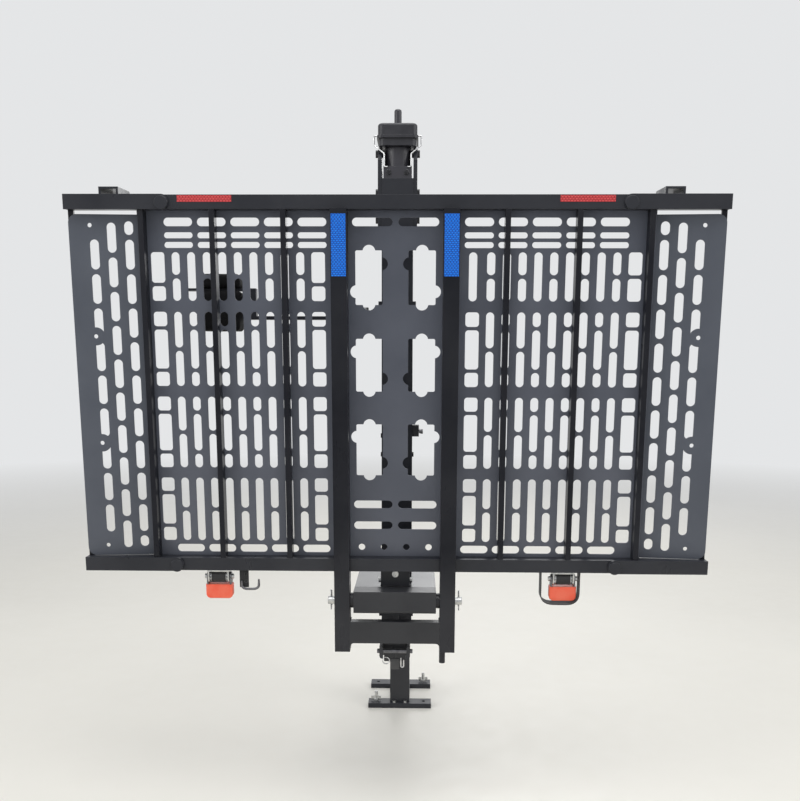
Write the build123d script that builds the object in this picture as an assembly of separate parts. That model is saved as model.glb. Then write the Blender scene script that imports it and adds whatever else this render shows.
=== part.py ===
from build123d import *
import math
import os

# Powered lift for a mobility scooter, carried by a 2 inch hitch bar and shown on a floor stand.
# The platform is folded up against the mast, so its underside faces the front (-Y).
# X is to the right, +Y runs towards the vehicle, Z is up. All sizes are in millimetres.
# The origin is on the floor, under the middle of the stand post.

# Platform, drawn upright in its own frame: pivot axis at y = 0, z = 0, deck behind it (+y)
PLATFORM_WIDTH = 1219.0
PLATFORM_DEPTH = 711.0
PLATFORM_LEAN = 3.0
RAIL_SIZE = 25.4
RAIL_WALL = 2.0
RAIL_ABOVE_PIVOT = 60.0
DECK_THICKNESS = 3.0
SEAM_GAP = 0.5
RAMP_ZONE = 127.5

# Lapped plates and bosses at the ends of the two rails
LAP_THICKNESS = 4.0
LAP_HEIGHT = 27.0
LAP_LENGTH = 180.5
BOSS_DIAMETER = 25.0
BOSS_THICKNESS = 3.0
BOSS_DROP = 2.0

# Swing arms and the cross plate between their legs
ARM_SPACING = 207.0
ARM_WIDTH = 30.0
ARM_DEPTH = 38.0
ARM_WALL = 3.0
LEG_LENGTH = 101.0
LEG_CAP_THICKNESS = 3.0
CROSS_TOP = 39.0
CROSS_HEIGHT = 44.0
CROSS_THICKNESS = 6.0
CROSS_FLANGE = 18.0
CROSS_CORNER = 8.0
STOP_STUD_DIAMETER = 12.0
STOP_STUD_LENGTH = 27.5
STOP_STUD_SHIFT = 9.0

# Bars under the deck
STIFFENER_WIDTH = 10.0
STIFFENER_DEPTH = 22.0
STIFFENER_SPACING = 131.5
FOLD_BAR_INSET = 7.5
EDGE_BAR_WIDTH = 10.0
EDGE_BAR_DEPTH = 8.0

# Ramp plates outside the fold bars
RAMP_BEND = 5.0
RAMP_TOP_GAP = 7.5
RAMP_BOTTOM_GAP = 1.0
RAMP_CORNER = 16.0
RAMP_COLUMN_FIRST = 16.2
RAMP_COLUMN_PITCH = 32.2
RAMP_SLOT_WIDTH = 16.6
RAMP_SLOT_LENGTH = 54.5
RAMP_SLOT_PITCH = 63.1
RAMP_SLOT_FIRST = 73.5
RAMP_MIDDLE_FIRST = 41.0
RAMP_SLOT_END = 43.0
RAMP_SLOT_TOP_MARGIN = 45.0
RAMP_SLOT_SHORTEST = 20.0
RAMP_HOLE_DIAMETER = 8.0
RAMP_HOLE_OUT = 87.3
RAMP_HOLE_COUNT = 4
RAMP_HOLE_BOTTOM_MARGIN = 46.5
RAMP_HOLE_TOP_MARGIN = 52.5
RAMP_HOLE_CLEAR = 17.0

# Deck slots: columns of upright slots in four rows of groups, measured up from the rail's lower edge
SLOT_PITCH = 29.3
SLOT_WIDTH = 15.4
WIDE_SLOT_WIDTH = 25.8
WIDE_SLOT_CORNER = 6.0
WIDE_SLOT_INNER_MARGIN = 41.25
WIDE_SLOT_OUTER_MARGIN = 35.3
WIDE_TO_FIRST_SLOT = 32.5
WIDE_SHORT_HEIGHT = 27.0
BRIDGE = 6.4
GROUP_HEIGHTS = (126.4, 138.3, 140.3, 89.5)
GROUP_GAP = 20.3
GROUP_BOTTOM_MARGIN = 55.2
GROUP_TOP_MARGIN = 100.5
FLAT_SLOT_SHIFT = 15.0
FLAT_SLOT_LENGTH = 54.0
FLAT_SLOT_GAP = 8.6
FLAT_SLOT_HEIGHT = 15.6
FLAT_ROW_BOTTOM_MARGIN = 40.0
FLAT_ROW_TOP_MARGIN = 46.0
BAND_SLOT_HEIGHT = 11.0
BAND_ROW_TOP_MARGINS = (70.0, 87.5)
CENTRE_SLOT_LENGTH = 75.5
CENTRE_SLOT_OFFSET = 43.2
CENTRE_LOW_ROWS = (88.0, 130.0)
CENTRE_HOLE_DIAMETER = 13.0
CENTRE_HOLE_PITCH = 44.0
CENTRE_HOLE_ROW = 44.0
WINDOW_WIDTH = 51.0
WINDOW_HEIGHT = 100.0
WINDOW_OFFSET = 49.9
WINDOW_TOP_MARGIN = 147.0
WINDOW_PITCH = 163.0
WINDOW_BUMP_RADIUS = 12.0
WINDOW_BUMP_SINK = 2.0
WINDOW_BUMP_OFFSET = 25.5
WINDOW_CORNER = 3.0

# Reflective tapes
TAPE_THICKNESS = 0.5
BLUE_TAPE_WIDTH = 27.0
BLUE_TAPE_LENGTH = 111.0
BLUE_TAPE_TOP_MARGIN = 35.2
RED_TAPE_LENGTH = 100.0
RED_TAPE_HEIGHT = 12.0
RED_TAPE_BELOW_EDGE = 1.0
RED_TAPE_FROM_END = 259.5

# The pockets and the ratchets all sit a little left of a mirrored pair
FITTINGS_SHIFT = -9.0

# Tie-down pockets on the upper rail
POCKET_FROM_END = 93.0
POCKET_WIDTH = 36.0
POCKET_HEIGHT = 14.0
POCKET_DEPTH = 70.0
POCKET_WALL = 4.0

# Strap ratchets under the lower rail
RATCHET_FROM_END = 269.5
RATCHET_PLATE_GAP = 36.0
RATCHET_PLATE_THICKNESS = 3.0
RATCHET_PLATE_RADIUS = 13.0
RATCHET_SPOOL_DIAMETER = 22.0
RATCHET_SPOOL_SIDE_GAP = 0.5
RATCHET_SHAFT_DIAMETER = 10.0
RATCHET_SHAFT_DROP = 15.0
RATCHET_SHAFT_OVERHANG = 4.6
RUNNING_CLEARANCE = 0.05
HANDLE_PLATE_THICKNESS = 2.5
HANDLE_PLATE_WIDTH = 18.0
HANDLE_SIDE_GAP = 0.4
HANDLE_GRIP_DROP = 15.0
HANDLE_GRIP_WIDTH = 53.0
HANDLE_GRIP_HEIGHT = 29.0
HANDLE_GRIP_THICKNESS = 16.0
HANDLE_GRIP_CORNER = 9.0
HANDLE_GRIP_EDGE = 2.0
STRAP_THICKNESS = 2.0
STRAP_WIDTH = 25.0
STRAP_LOOP_LEFT = -45.0
STRAP_LOOP_RIGHT = 33.0
STRAP_LOOP_DROP = 66.0
STRAP_LOOP_RADIUS = 20.0
HOOK_STRAP_SHIFT = 50.0
HOOK_STRAP_WIDTH = 18.0
HOOK_STRAP_LENGTH = 36.0
HOOK_WIRE = 5.0
HOOK_STRAP_BACK = 1.0
HOOK_LENGTH = 34.0
HOOK_RISE = 20.0
HOOK_BEND = 7.0

# Pivot of the platform
PIVOT_Y = -571.0
PIVOT_Z = 430.0
SHAFT_DIAMETER = 16.0
SHAFT_END_OUT = 14.0
SHAFT_CHAMFER = 1.0
BOX_TO_ARM = 7.5
BOX_SIZE = 44.0
BOX_WALL = 4.0
BOX_CORNER = 7.0
BOX_END_THICKNESS = 8.0
BUSH_DIAMETER = 30.0
BUSH_SIDE_CLEARANCE = 0.3
CLIP_WIRE = 3.0
CLIP_HOLE_CLEARANCE = 0.2
CLIP_HEIGHT = 38.0
CLIP_FROM_END = 6.0
CLIP_BEND = 4.0
CLIP_SHORT_LEG = 32.0

# Mast
MAST_SIZE = 63.5
MAST_WALL = 5.0
MAST_FRONT_Y = -437.0
MAST_BOTTOM_Z = 306.0
MAST_TOP_Z = 1264.0
LIFT_STROKE = 235.0
MAST_SLOT_WIDTH = 12.0
MAST_SLOT_CLEARANCE = 6.0
INNER_TUBE_SIZE = 48.0
INNER_TUBE_WALL = 4.0
INNER_TUBE_INSET = 4.0
INNER_TUBE_BELOW_TOP = 80.0
PAD_CLEARANCE = 0.3
PAD_HEIGHT = 60.0
LOWER_PAD_Z = 345.0
UPPER_PAD_Z = 725.0
PAD_SCREW_HEAD = 10.0
PAD_SCREW_HEAD_HEIGHT = 3.0
PAD_SCREW_SPACING = 40.0

# Mast head, drive and cap
SIDE_PLATE_THICKNESS = 8.0
SIDE_PLATE_DEPTH = 60.0
SIDE_PLATE_BELOW_TOP = 101.0
SIDE_PLATE_ABOVE_TOP = 60.0
SIDE_PLATE_TAPER = 24.0
HEAD_BOLTS_FROM_TOP = (-78.0, -25.0, 51.0)
HEAD_BOLT_DIAMETER = 8.0
HEAD_BOLT_HEAD = 13.0
HEAD_BOLT_HEAD_HEIGHT = 5.0
HEAD_BOLT_FORWARD = 10.0
FLANGE_SIZE = 57.0
FLANGE_HEIGHT = 24.0
FLANGE_BOLT_SPACING = 36.0
FLANGE_BOLT_DIAMETER = 6.0
FLANGE_BOLT_HEAD = 9.0
FLANGE_BOLT_HEAD_HEIGHT = 3.0
FLANGE_BOLT_LENGTH = 12.0
MOTOR_DIAMETER = 53.0
MOTOR_HEIGHT = 38.0
CAP_BAND_SIZE = 75.0
CAP_BAND_HEIGHT = 14.0
CAP_RIM_SIZE = 83.0
CAP_RIM_HEIGHT = 6.0
CAP_TOP_SIZE = 79.0
CAP_TOP_HEIGHT = 23.0
CAP_CORNER = 12.0
CAP_TOP_FILLET = 5.0
SCREW_DIAMETER = 20.0
SCREW_OVERRUN = 45.0
SCREW_TOP_GAP = 10.0
OVERRIDE_DIAMETER = 15.0
OVERRIDE_FILLET = 4.5
OVERRIDE_HEIGHT = 35.0
NUT_HEIGHT = 40.0
CAP_CLIP_WIRE = 3.0
CAP_CLIP_OUT = 6.0
CAP_CLIP_FORWARD = 22.0
CAP_CLIP_DROP = 16.0
CAP_CLIP_KNEE_BELOW = 14.0
CAP_CLIP_FLANGE_INSET = 1.5
CAP_CLIP_END = 7.0
CAP_CLIP_BEND = 2.5

# Limit switch on the right side of the mast
SWITCH_Z = 756.0
SWITCH_WIDTH = 14.0
SWITCH_DEPTH = 28.0
SWITCH_HEIGHT = 24.0
SWITCH_PIN_DIAMETER = 4.0
SWITCH_PIN_HEAD = 7.0
SWITCH_PIN_HEAD_THICKNESS = 1.4
SWITCH_PIN_FORWARD = 8.0
SWITCH_LEVER_LENGTH = 22.0
SWITCH_LEVER_WIDTH = 8.0
SWITCH_LEVER_THICKNESS = 3.0
SWITCH_SIDE_GAP = 0.3
SWITCH_ROLLER_DIAMETER = 10.0
SWITCH_ROLLER_WIDTH = 5.0

# Carriage plates between the pivot box and the mast
TOP_PLATE_THICKNESS = 6.0
TOP_PLATE_WING = 37.0
RIB_X = 60.0
RIB_THICKNESS = 6.0
RIB_HEIGHT = 12.0
WEB_THICKNESS = 10.0
WEB_BOTTOM_Z = 322.0
WEB_FRONT_OUT = 40.0
WEB_LOW_ARM_HEIGHT = 14.0
CHEEK_THICKNESS = 3.2
CHEEK_CLEARANCE = 0.4
CHEEK_HEIGHT = 74.0
CHEEK_DEPTH = 56.0
CHEEK_FRONT_THICKNESS = 6.0
MAST_PLATE_CLEARANCE = 2.0
LATCH_WIDTH = 58.0
LATCH_HEIGHT = 52.0
LATCH_THICKNESS = 6.0
LATCH_BEHIND_BOX = 6.0
LATCH_DEPTH = 22.0
LATCH_BOLT_RISE = 25.5
LATCH_BOLT_DIAMETER = 8.0
LATCH_BOLT_HEAD = 13.0
LATCH_BOLT_HEAD_HEIGHT = 4.0
LATCH_BOLT_SOCKET = 6.0
LATCH_BOLT_SOCKET_DEPTH = 2.0
LATCH_BOLT_LENGTH = 14.0
CROSS_PIN_DIAMETER = 10.0
CROSS_PIN_LENGTH = 68.0
CROSS_PIN_RISE = 10.0
CROSS_PIN_BEHIND = 2.0

# Lock bracket under the cross plate
LOCK_WIDTH = 61.0
LOCK_EAR_THICKNESS = 7.0
LOCK_BACK_Y = -550.0
LOCK_DEPTH = 30.0
LOCK_TOP_Z = 337.0
LOCK_HEIGHT = 24.0
LOCK_BACK_THICKNESS = 6.0
LOCK_CORNER = 6.0
LOCK_PIN_DIAMETER = 9.0
LOCK_PIN_OUT = 5.0
LOCK_PIN_RISE = 13.0
LOCK_PIN_FROM_BACK = 20.0
LUG_WIDTH = 44.0
LUG_HEIGHT = 13.0
RING_X = -18.0
RING_RADIUS = 7.0
RING_WIRE = 2.5
RING_ABOVE_LUG_EDGE = 2.0
TAG_WIDTH = 16.0
TAG_HEIGHT = 22.0
TAG_THICKNESS = 1.5
TAG_OVERLAP = 6.0
TAG_CLIP_X = 12.0
TAG_CLIP_WIDTH = 5.5
TAG_CLIP_LENGTH = 19.6
TAG_CLIP_RISE = 2.0

# Hitch bar, receiver and stand
HITCH_BAR_SIZE = 50.8
HITCH_BAR_WALL = 6.0
HITCH_BAR_Z = 331.0
HITCH_BAR_END_Y = 70.0
RECEIVER_SIZE = 63.5
RECEIVER_CLEARANCE = 0.3
PIN_HOLE_CLEARANCE = 0.1
RECEIVER_LENGTH = 150.0
HITCH_PIN_DIAMETER = 15.9
HITCH_PIN_HEAD = 26.0
HITCH_PIN_HEAD_THICKNESS = 8.0
HITCH_PIN_OUT = 16.0
HITCH_PIN_Y = 0.0
GUSSET_THICKNESS = 6.0
GUSSET_LENGTH = 82.0
GUSSET_HEIGHT = 90.0
POST_SIZE = 50.8
POST_WALL = 5.0
FOOT_LENGTH = 165.0
FOOT_DEPTH = 38.0
FOOT_HEIGHT = 12.7
FOOT_WALL = 3.0
FRONT_FOOT_Y = -21.0
REAR_FOOT_Y = 127.0
BASE_BAR_WIDTH = 50.8
ANCHOR_X = 62.5
ANCHOR_DIAMETER = 8.0
ANCHOR_HOLE_CLEARANCE = 1.0
ANCHOR_RISE = 27.0
WING_HUB_DIAMETER = 12.0
WING_HUB_HEIGHT = 7.0
WING_SPAN = 25.0
WING_THICKNESS = 3.0
WING_HEIGHT = 12.0
WING_RISE = 2.5
WING_SLOT_CLEARANCE = 2.0
FOOT_BOLT_X = 14.0
FOOT_BOLT_HEAD = 9.0
FOOT_BOLT_HEIGHT = 5.0
FOOT_BOLT_GAP = 7.0
POST_BOLT_Z = 262.0
POST_BOLT_DIAMETER = 10.0
POST_BOLT_HEAD = 17.0
POST_BOLT_HEAD_HEIGHT = 8.5
POST_BOLT_OUT = 22.0

# Hold-down on the left of the mast
COLLAR_WALL = 6.0
COLLAR_CLEARANCE = 0.4
COLLAR_HEIGHT = 46.0
COLLAR_TOP_Z = 1021.0
HUB_X = -66.0
HUB_PIN_DIAMETER = 12.0
HUB_DIAMETER = 26.0
HUB_PIN_RISE = 8.0
HUB_RING_RADIUS = 9.5
BRACKET_THICKNESS = 5.0
BRACKET_DEPTH = 34.0
BRACKET_GAP = 18.0
ARM_BAR_HEIGHT = 7.0
ARM_BAR_DEPTH = 20.0
ARM_GAP = 0.3
UPRIGHT_X = -307.0
UPRIGHT_WIDTH = 28.0
HOLD_PLATE_Z = 1044.0
HOLD_PLATE_THICKNESS = 5.0
HOLD_PLATE_LEFT_X = -443.0
HOLD_PAD_TO_UPRIGHT = 2.0
HOLD_PAD_WIDTH = 92.0
HOLD_PAD_DEPTH = 60.0
HOLD_PAD_CORNER = 6.0
HOLD_PAD_UPPER_HEIGHT = 28.0
HOLD_PAD_LOWER_HEIGHT = 82.0

# Places that follow from the sizes above
MAST_Y = MAST_FRONT_Y + MAST_SIZE / 2
MAST_BACK_Y = MAST_FRONT_Y + MAST_SIZE
DECK_UNDER = ARM_DEPTH / 2
DECK_BACK = DECK_UNDER + DECK_THICKNESS
RAIL_FRONT = DECK_BACK - RAIL_SIZE
DECK_LOW = RAIL_ABOVE_PIVOT + RAIL_SIZE
DECK_HIGH = RAIL_ABOVE_PIVOT + PLATFORM_DEPTH - RAIL_SIZE
ARM_INNER_X = (ARM_SPACING - ARM_WIDTH) / 2
BOX_WIDTH = 2 * (ARM_INNER_X - BOX_TO_ARM)
ARM_OUTER_X = (ARM_SPACING + ARM_WIDTH) / 2
HALF_WIDTH = PLATFORM_WIDTH / 2
PANEL_EDGE_X = HALF_WIDTH - RAMP_ZONE
PANEL_INNER_X = (ARM_SPACING + SEAM_GAP) / 2
WIDE_INNER_X = PANEL_INNER_X + WIDE_SLOT_INNER_MARGIN
WIDE_OUTER_X = PANEL_EDGE_X - WIDE_SLOT_OUTER_MARGIN
SLOT_ZONE_CENTRE = (WIDE_INNER_X + WIDE_OUTER_X) / 2
LAP_START = HALF_WIDTH - LAP_LENGTH
POCKET_X = HALF_WIDTH - POCKET_FROM_END
RATCHET_X = HALF_WIDTH - RATCHET_FROM_END
RED_TAPE_X = HALF_WIDTH - RED_TAPE_FROM_END
FLAT_SLOT_ROWS = (FLAT_ROW_BOTTOM_MARGIN, PLATFORM_DEPTH - FLAT_ROW_TOP_MARGIN)
BAND_SLOT_ROWS = [PLATFORM_DEPTH - margin for margin in BAND_ROW_TOP_MARGINS]
RAMP_SLOT_TOP = PLATFORM_DEPTH - RAMP_SLOT_TOP_MARGIN
LAP_FRONT = RAIL_FRONT - LAP_THICKNESS
BOX_TOP_Z = PIVOT_Z + BOX_SIZE / 2
BOX_BACK_Y = PIVOT_Y + BOX_SIZE / 2
PLATE_BOTTOM_Z = BOX_TOP_Z - TOP_PLATE_THICKNESS
CHEEK_INNER_X = MAST_SIZE / 2 + CHEEK_CLEARANCE
CHEEK_OUTER_X = CHEEK_INNER_X + CHEEK_THICKNESS
INNER_TUBE_BOTTOM_Z = MAST_BOTTOM_Z + INNER_TUBE_INSET
INNER_TUBE_TOP_Z = MAST_TOP_Z - INNER_TUBE_BELOW_TOP
SIDE_PLATE_BOTTOM_Z = MAST_TOP_Z - SIDE_PLATE_BELOW_TOP
SIDE_PLATE_TOP_Z = MAST_TOP_Z + SIDE_PLATE_ABOVE_TOP
HEAD_BOLT_Z = [MAST_TOP_Z + offset for offset in HEAD_BOLTS_FROM_TOP]
SCREW_BOTTOM_Z = INNER_TUBE_TOP_Z - NUT_HEIGHT - LIFT_STROKE - SCREW_OVERRUN
FLANGE_TOP_Z = MAST_TOP_Z + FLANGE_HEIGHT
MOTOR_TOP_Z = FLANGE_TOP_Z + MOTOR_HEIGHT
RIM_BOTTOM_Z = MOTOR_TOP_Z + CAP_BAND_HEIGHT
RIM_TOP_Z = RIM_BOTTOM_Z + CAP_RIM_HEIGHT
CAP_TOP_Z = RIM_TOP_Z + CAP_TOP_HEIGHT
RECEIVER_BOTTOM_Z = HITCH_BAR_Z - RECEIVER_SIZE / 2
LOCK_BOTTOM_Z = LOCK_TOP_Z - LOCK_HEIGHT
LOCK_FACE_Y = LOCK_BACK_Y - LOCK_BACK_THICKNESS
RAMP_LENGTH = (RAMP_ZONE - RAIL_WALL) / math.cos(math.radians(RAMP_BEND))
HOLD_PAD_CENTRE_X = UPRIGHT_X - UPRIGHT_WIDTH / 2 - HOLD_PAD_TO_UPRIGHT - HOLD_PAD_WIDTH / 2
SIDES = (-1, 1)


def span(x, y, z):
    """A box between two corners, given as a (low, high) pair on each axis."""
    low, high = zip(x, y, z)
    size = [b - a for a, b in zip(low, high)]
    centre = [(a + b) / 2 for a, b in zip(low, high)]
    return Pos(*centre) * Box(*size)


def both(centre, size):
    """A (low, high) pair around a centre."""
    return (centre - size / 2, centre + size / 2)


def rod_x(x, y, z, diameter):
    """A round bar along X from x[0] to x[1]."""
    bar = Cylinder(diameter / 2, x[1] - x[0], rotation=(0, 90, 0))
    return Pos((x[0] + x[1]) / 2, y, z) * bar


def rod_y(x, y, z, diameter):
    """A round bar along Y from y[0] to y[1]."""
    bar = Cylinder(diameter / 2, y[1] - y[0], rotation=(90, 0, 0))
    return Pos(x, (y[0] + y[1]) / 2, z) * bar


def rod_z(x, y, z, diameter):
    """A round bar along Z from z[0] to z[1]."""
    return Pos(x, y, (z[0] + z[1]) / 2) * Cylinder(diameter / 2, z[1] - z[0])


def hex_x(x, y, z, across):
    """A hexagon head along X."""
    head = extrude(RegularPolygon(across / 2, 6, major_radius=False), x[1] - x[0])
    return Pos(x[0], y, z) * Rot(0, 90, 0) * head


def hex_z(x, y, z, across):
    """A hexagon head along Z."""
    head = extrude(RegularPolygon(across / 2, 6, major_radius=False), z[1] - z[0])
    return Pos(x, y, z[0]) * head


def wire_along(points, radius, diameter):
    """A round wire that follows a filleted line."""
    path = FilletPolyline(*points, radius=radius)
    section = Plane(path @ 0, z_dir=path % 0) * Circle(diameter / 2)
    return sweep(section, path)


def ring(x, y, z, radius, diameter, turn=(0, 0, 0)):
    """A closed ring of round wire, its axis along Z before it is turned."""
    return Pos(x, y, z) * Rot(*turn) * Torus(radius, diameter / 2)


def plate_face(outline, holes):
    """A flat face with holes, from sketches."""
    inner = [hole.face().outer_wire() for hole in holes]
    return Face(outline.face().outer_wire(), inner)


def stand_plate(face, front, thickness):
    """Extrude a face drawn in x and height, standing upright with its front at y = front."""
    solid = extrude(face, thickness)
    return Pos(0, front + thickness, 0) * Rot(90, 0, 0) * solid


def stored(part):
    """Move a piece of the platform from its own frame to the stored pose."""
    return Pos(0, PIVOT_Y, PIVOT_Z) * Rot(PLATFORM_LEAN, 0, 0) * part


def group(parts):
    """Several separate solids in one node."""
    solids = []
    for part in parts:
        solids += list(part.solids())
    return Compound(children=solids)


nodes = {}


def add(name, *parts):
    """Name a node. Each part stays a solid of its own."""
    nodes[name] = parts[0] if len(parts) == 1 else group(parts)


def add_stored(name, *parts):
    """Name a node of the platform."""
    add(name, *[stored(part) for part in parts])


# Deck slots

def at_height(height):
    """Height in the platform's frame of a height above the lower rail's lower edge."""
    return RAIL_ABOVE_PIVOT + height


def upright_slot(x, low, high, width):
    """A slot with round ends, between two heights."""
    centre = at_height((low + high) / 2)
    return Pos(x, centre) * SlotOverall(high - low, width, rotation=90)


def wide_slot(x, low, high):
    """A wide opening with small corner radii, between two heights."""
    outline = RectangleRounded(WIDE_SLOT_WIDTH, high - low, WIDE_SLOT_CORNER)
    return Pos(x, at_height((low + high) / 2)) * outline


def flat_slot(x, height, length, width):
    """A slot that lies along X."""
    return Pos(x, at_height(height)) * SlotOverall(length, width)


def three_heights(low, high):
    """Short, tall and short heights that fill a group."""
    short_low = (low, low + WIDE_SHORT_HEIGHT)
    short_high = (high - WIDE_SHORT_HEIGHT, high)
    return [short_low, (short_low[1] + BRIDGE, short_high[0] - BRIDGE), short_high]


def two_heights(low, high):
    """Two equal heights that fill a group."""
    middle = (low + high) / 2
    return [(low, middle - BRIDGE / 2), (middle + BRIDGE / 2, high)]


def top_heights(low, high):
    """A short height below a tall one, as in the left panel's top group."""
    return [(low, low + WIDE_SHORT_HEIGHT), (low + WIDE_SHORT_HEIGHT + BRIDGE, high)]


def group_spans():
    """The low and high edge of each group, stretched together to fill the platform's depth."""
    gaps = GROUP_GAP * (len(GROUP_HEIGHTS) - 1)
    free = PLATFORM_DEPTH - GROUP_BOTTOM_MARGIN - GROUP_TOP_MARGIN - gaps
    spans = []
    low = GROUP_BOTTOM_MARGIN
    for height in GROUP_HEIGHTS:
        high = low + height * free / sum(GROUP_HEIGHTS)
        spans.append((low, high))
        low = high + GROUP_GAP
    return spans


def slot_columns():
    """Places of the narrow columns, spread evenly about the middle of the slotted zone."""
    room = WIDE_OUTER_X - WIDE_INNER_X - 2 * WIDE_TO_FIRST_SLOT
    count = int(room / SLOT_PITCH) + 1
    return [SLOT_ZONE_CENTRE + (index - (count - 1) / 2) * SLOT_PITCH for index in range(count)]


def flat_slot_places():
    """Places of the flat slots, as many as the slotted zone holds."""
    pitch = FLAT_SLOT_LENGTH + FLAT_SLOT_GAP
    count = int((WIDE_OUTER_X - WIDE_INNER_X + WIDE_SLOT_WIDTH) / pitch)
    centre = SLOT_ZONE_CENTRE - FLAT_SLOT_SHIFT
    return [centre + (index - (count - 1) / 2) * pitch for index in range(count)]


def side_panel_holes(side):
    """All the holes of one side panel."""
    holes = []
    spans = group_spans()
    for row, (low, high) in enumerate(spans):
        top_row = row == len(spans) - 1
        middle_row = 0 < row < len(spans) - 1
        wide = three_heights(low, high)
        if top_row:
            wide = two_heights(low, high) if side == 1 else top_heights(low, high)
        for place in (WIDE_INNER_X, WIDE_OUTER_X):
            if top_row and side == 1 and place == WIDE_INNER_X:
                holes.append(upright_slot(place, low, high, SLOT_WIDTH))
                continue
            holes += [wide_slot(side * place, *pair) for pair in wide]
        for index, place in enumerate(slot_columns()):
            if index % 2 == 0:
                heights = two_heights(low, high)
            elif middle_row:
                heights = three_heights(low, high)
            else:
                heights = [(low, high)]
            holes += [upright_slot(side * place, *pair, SLOT_WIDTH) for pair in heights]
    for place in flat_slot_places():
        x = side * place
        holes += [flat_slot(x, row, FLAT_SLOT_LENGTH, FLAT_SLOT_HEIGHT) for row in FLAT_SLOT_ROWS]
        holes += [flat_slot(x, row, FLAT_SLOT_LENGTH, BAND_SLOT_HEIGHT) for row in BAND_SLOT_ROWS]
    return holes


def window(side, height, flip):
    """One of the centre panel's openings: a rectangle with a round bump on each side."""
    x = side * WINDOW_OFFSET
    z = at_height(height)
    half_x = WINDOW_WIDTH / 2 - WINDOW_BUMP_SINK
    half_z = WINDOW_HEIGHT / 2 - WINDOW_BUMP_SINK
    shape = Pos(x, z) * RectangleRounded(WINDOW_WIDTH, WINDOW_HEIGHT, WINDOW_CORNER)
    bump = Circle(WINDOW_BUMP_RADIUS)
    bumps = [
        (x, z + half_z),
        (x, z - half_z),
        (x + side * half_x, z + flip * WINDOW_BUMP_OFFSET),
        (x - side * half_x, z - flip * WINDOW_BUMP_OFFSET),
    ]
    for bump_x, bump_z in bumps:
        shape += Pos(bump_x, bump_z) * bump
    return shape


def centre_panel_holes():
    """All the holes of the centre panel."""
    holes = []
    low_rows_top = max(CENTRE_LOW_ROWS) + FLAT_SLOT_HEIGHT / 2
    first_window = PLATFORM_DEPTH - WINDOW_TOP_MARGIN
    reach = WINDOW_HEIGHT / 2 + WINDOW_BUMP_RADIUS + BRIDGE
    for side in SIDES:
        x = side * CENTRE_SLOT_OFFSET
        rows = (FLAT_SLOT_ROWS[1],) + CENTRE_LOW_ROWS
        holes += [flat_slot(x, row, CENTRE_SLOT_LENGTH, FLAT_SLOT_HEIGHT) for row in rows]
        height = first_window
        while height - reach > low_rows_top:
            holes.append(window(side, height, -1 if height == first_window else 1))
            height -= WINDOW_PITCH
        for half in (0.5, 1.5):
            place = Pos(side * half * CENTRE_HOLE_PITCH, at_height(CENTRE_HOLE_ROW))
            holes.append(place * Circle(CENTRE_HOLE_DIAMETER / 2))
    return holes


def ramp_slot_heights(first, with_ends):
    """Heights of one column of ramp slots, with a short slot at each end of some columns."""
    heights = []
    low = first
    while low + RAMP_SLOT_LENGTH <= RAMP_SLOT_TOP:
        heights.append((low, low + RAMP_SLOT_LENGTH))
        low += RAMP_SLOT_PITCH
    if with_ends:
        heights.append((RAMP_SLOT_END, first - (RAMP_SLOT_PITCH - RAMP_SLOT_LENGTH)))
        if RAMP_SLOT_TOP - low >= RAMP_SLOT_SHORTEST:
            heights.append((low, RAMP_SLOT_TOP))
    return heights


def ramp_holes(side):
    """All the holes of one ramp plate. x is measured from the fold."""
    hole_x = side * RAMP_HOLE_OUT
    room = PLATFORM_DEPTH - RAMP_HOLE_BOTTOM_MARGIN - RAMP_HOLE_TOP_MARGIN
    pitch = room / (RAMP_HOLE_COUNT - 1)
    rows = [RAMP_HOLE_BOTTOM_MARGIN + index * pitch for index in range(RAMP_HOLE_COUNT)]
    holes = [Pos(hole_x, at_height(row)) * Circle(RAMP_HOLE_DIAMETER / 2) for row in rows]
    rounds = [Pos(hole_x, at_height(row)) * Circle(RAMP_HOLE_CLEAR) for row in rows]
    for column in range(3):
        x = side * (RAMP_COLUMN_FIRST + column * RAMP_COLUMN_PITCH)
        first = RAMP_MIDDLE_FIRST if column == 1 else RAMP_SLOT_FIRST
        for low, high in ramp_slot_heights(first, column == 0):
            slot = upright_slot(x, low, high, RAMP_SLOT_WIDTH)
            holes.append(trimmed(slot, rounds) if column == 2 else slot)
    return holes


def trimmed(slot, rounds):
    """An outer slot cut back where it would run into a small round hole."""
    for disc in rounds:
        slot = slot - disc
    return slot.faces().sort_by(SortBy.AREA)[-1]


def deck_plate(x_low, x_high, holes):
    """A deck plate between the rails."""
    height = DECK_HIGH - DECK_LOW
    outline = Pos((x_low + x_high) / 2, (DECK_LOW + DECK_HIGH) / 2) * Rectangle(x_high - x_low, height)
    return stand_plate(plate_face(outline, holes), DECK_UNDER, DECK_THICKNESS)


def ramp_place(side):
    """The place and bend of a ramp, drawn with its fold at x = 0 and its front at y = 0."""
    return Pos(side * PANEL_EDGE_X, DECK_UNDER, 0) * Rot(0, 0, -side * RAMP_BEND)


def ramp_plate(side):
    """A ramp plate, bent down from the deck at its fold."""
    low = DECK_LOW + RAMP_BOTTOM_GAP
    high = DECK_HIGH - RAMP_TOP_GAP
    outline = Pos(side * RAMP_LENGTH / 2, (low + high) / 2) * Rectangle(RAMP_LENGTH, high - low)
    corners = outline.vertices().sort_by(Axis.X)
    corners = corners[-2:] if side == 1 else corners[:2]
    outline = fillet(corners, RAMP_CORNER)
    plate = stand_plate(plate_face(outline, ramp_holes(side)), 0, DECK_THICKNESS)
    return ramp_place(side) * plate


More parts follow.
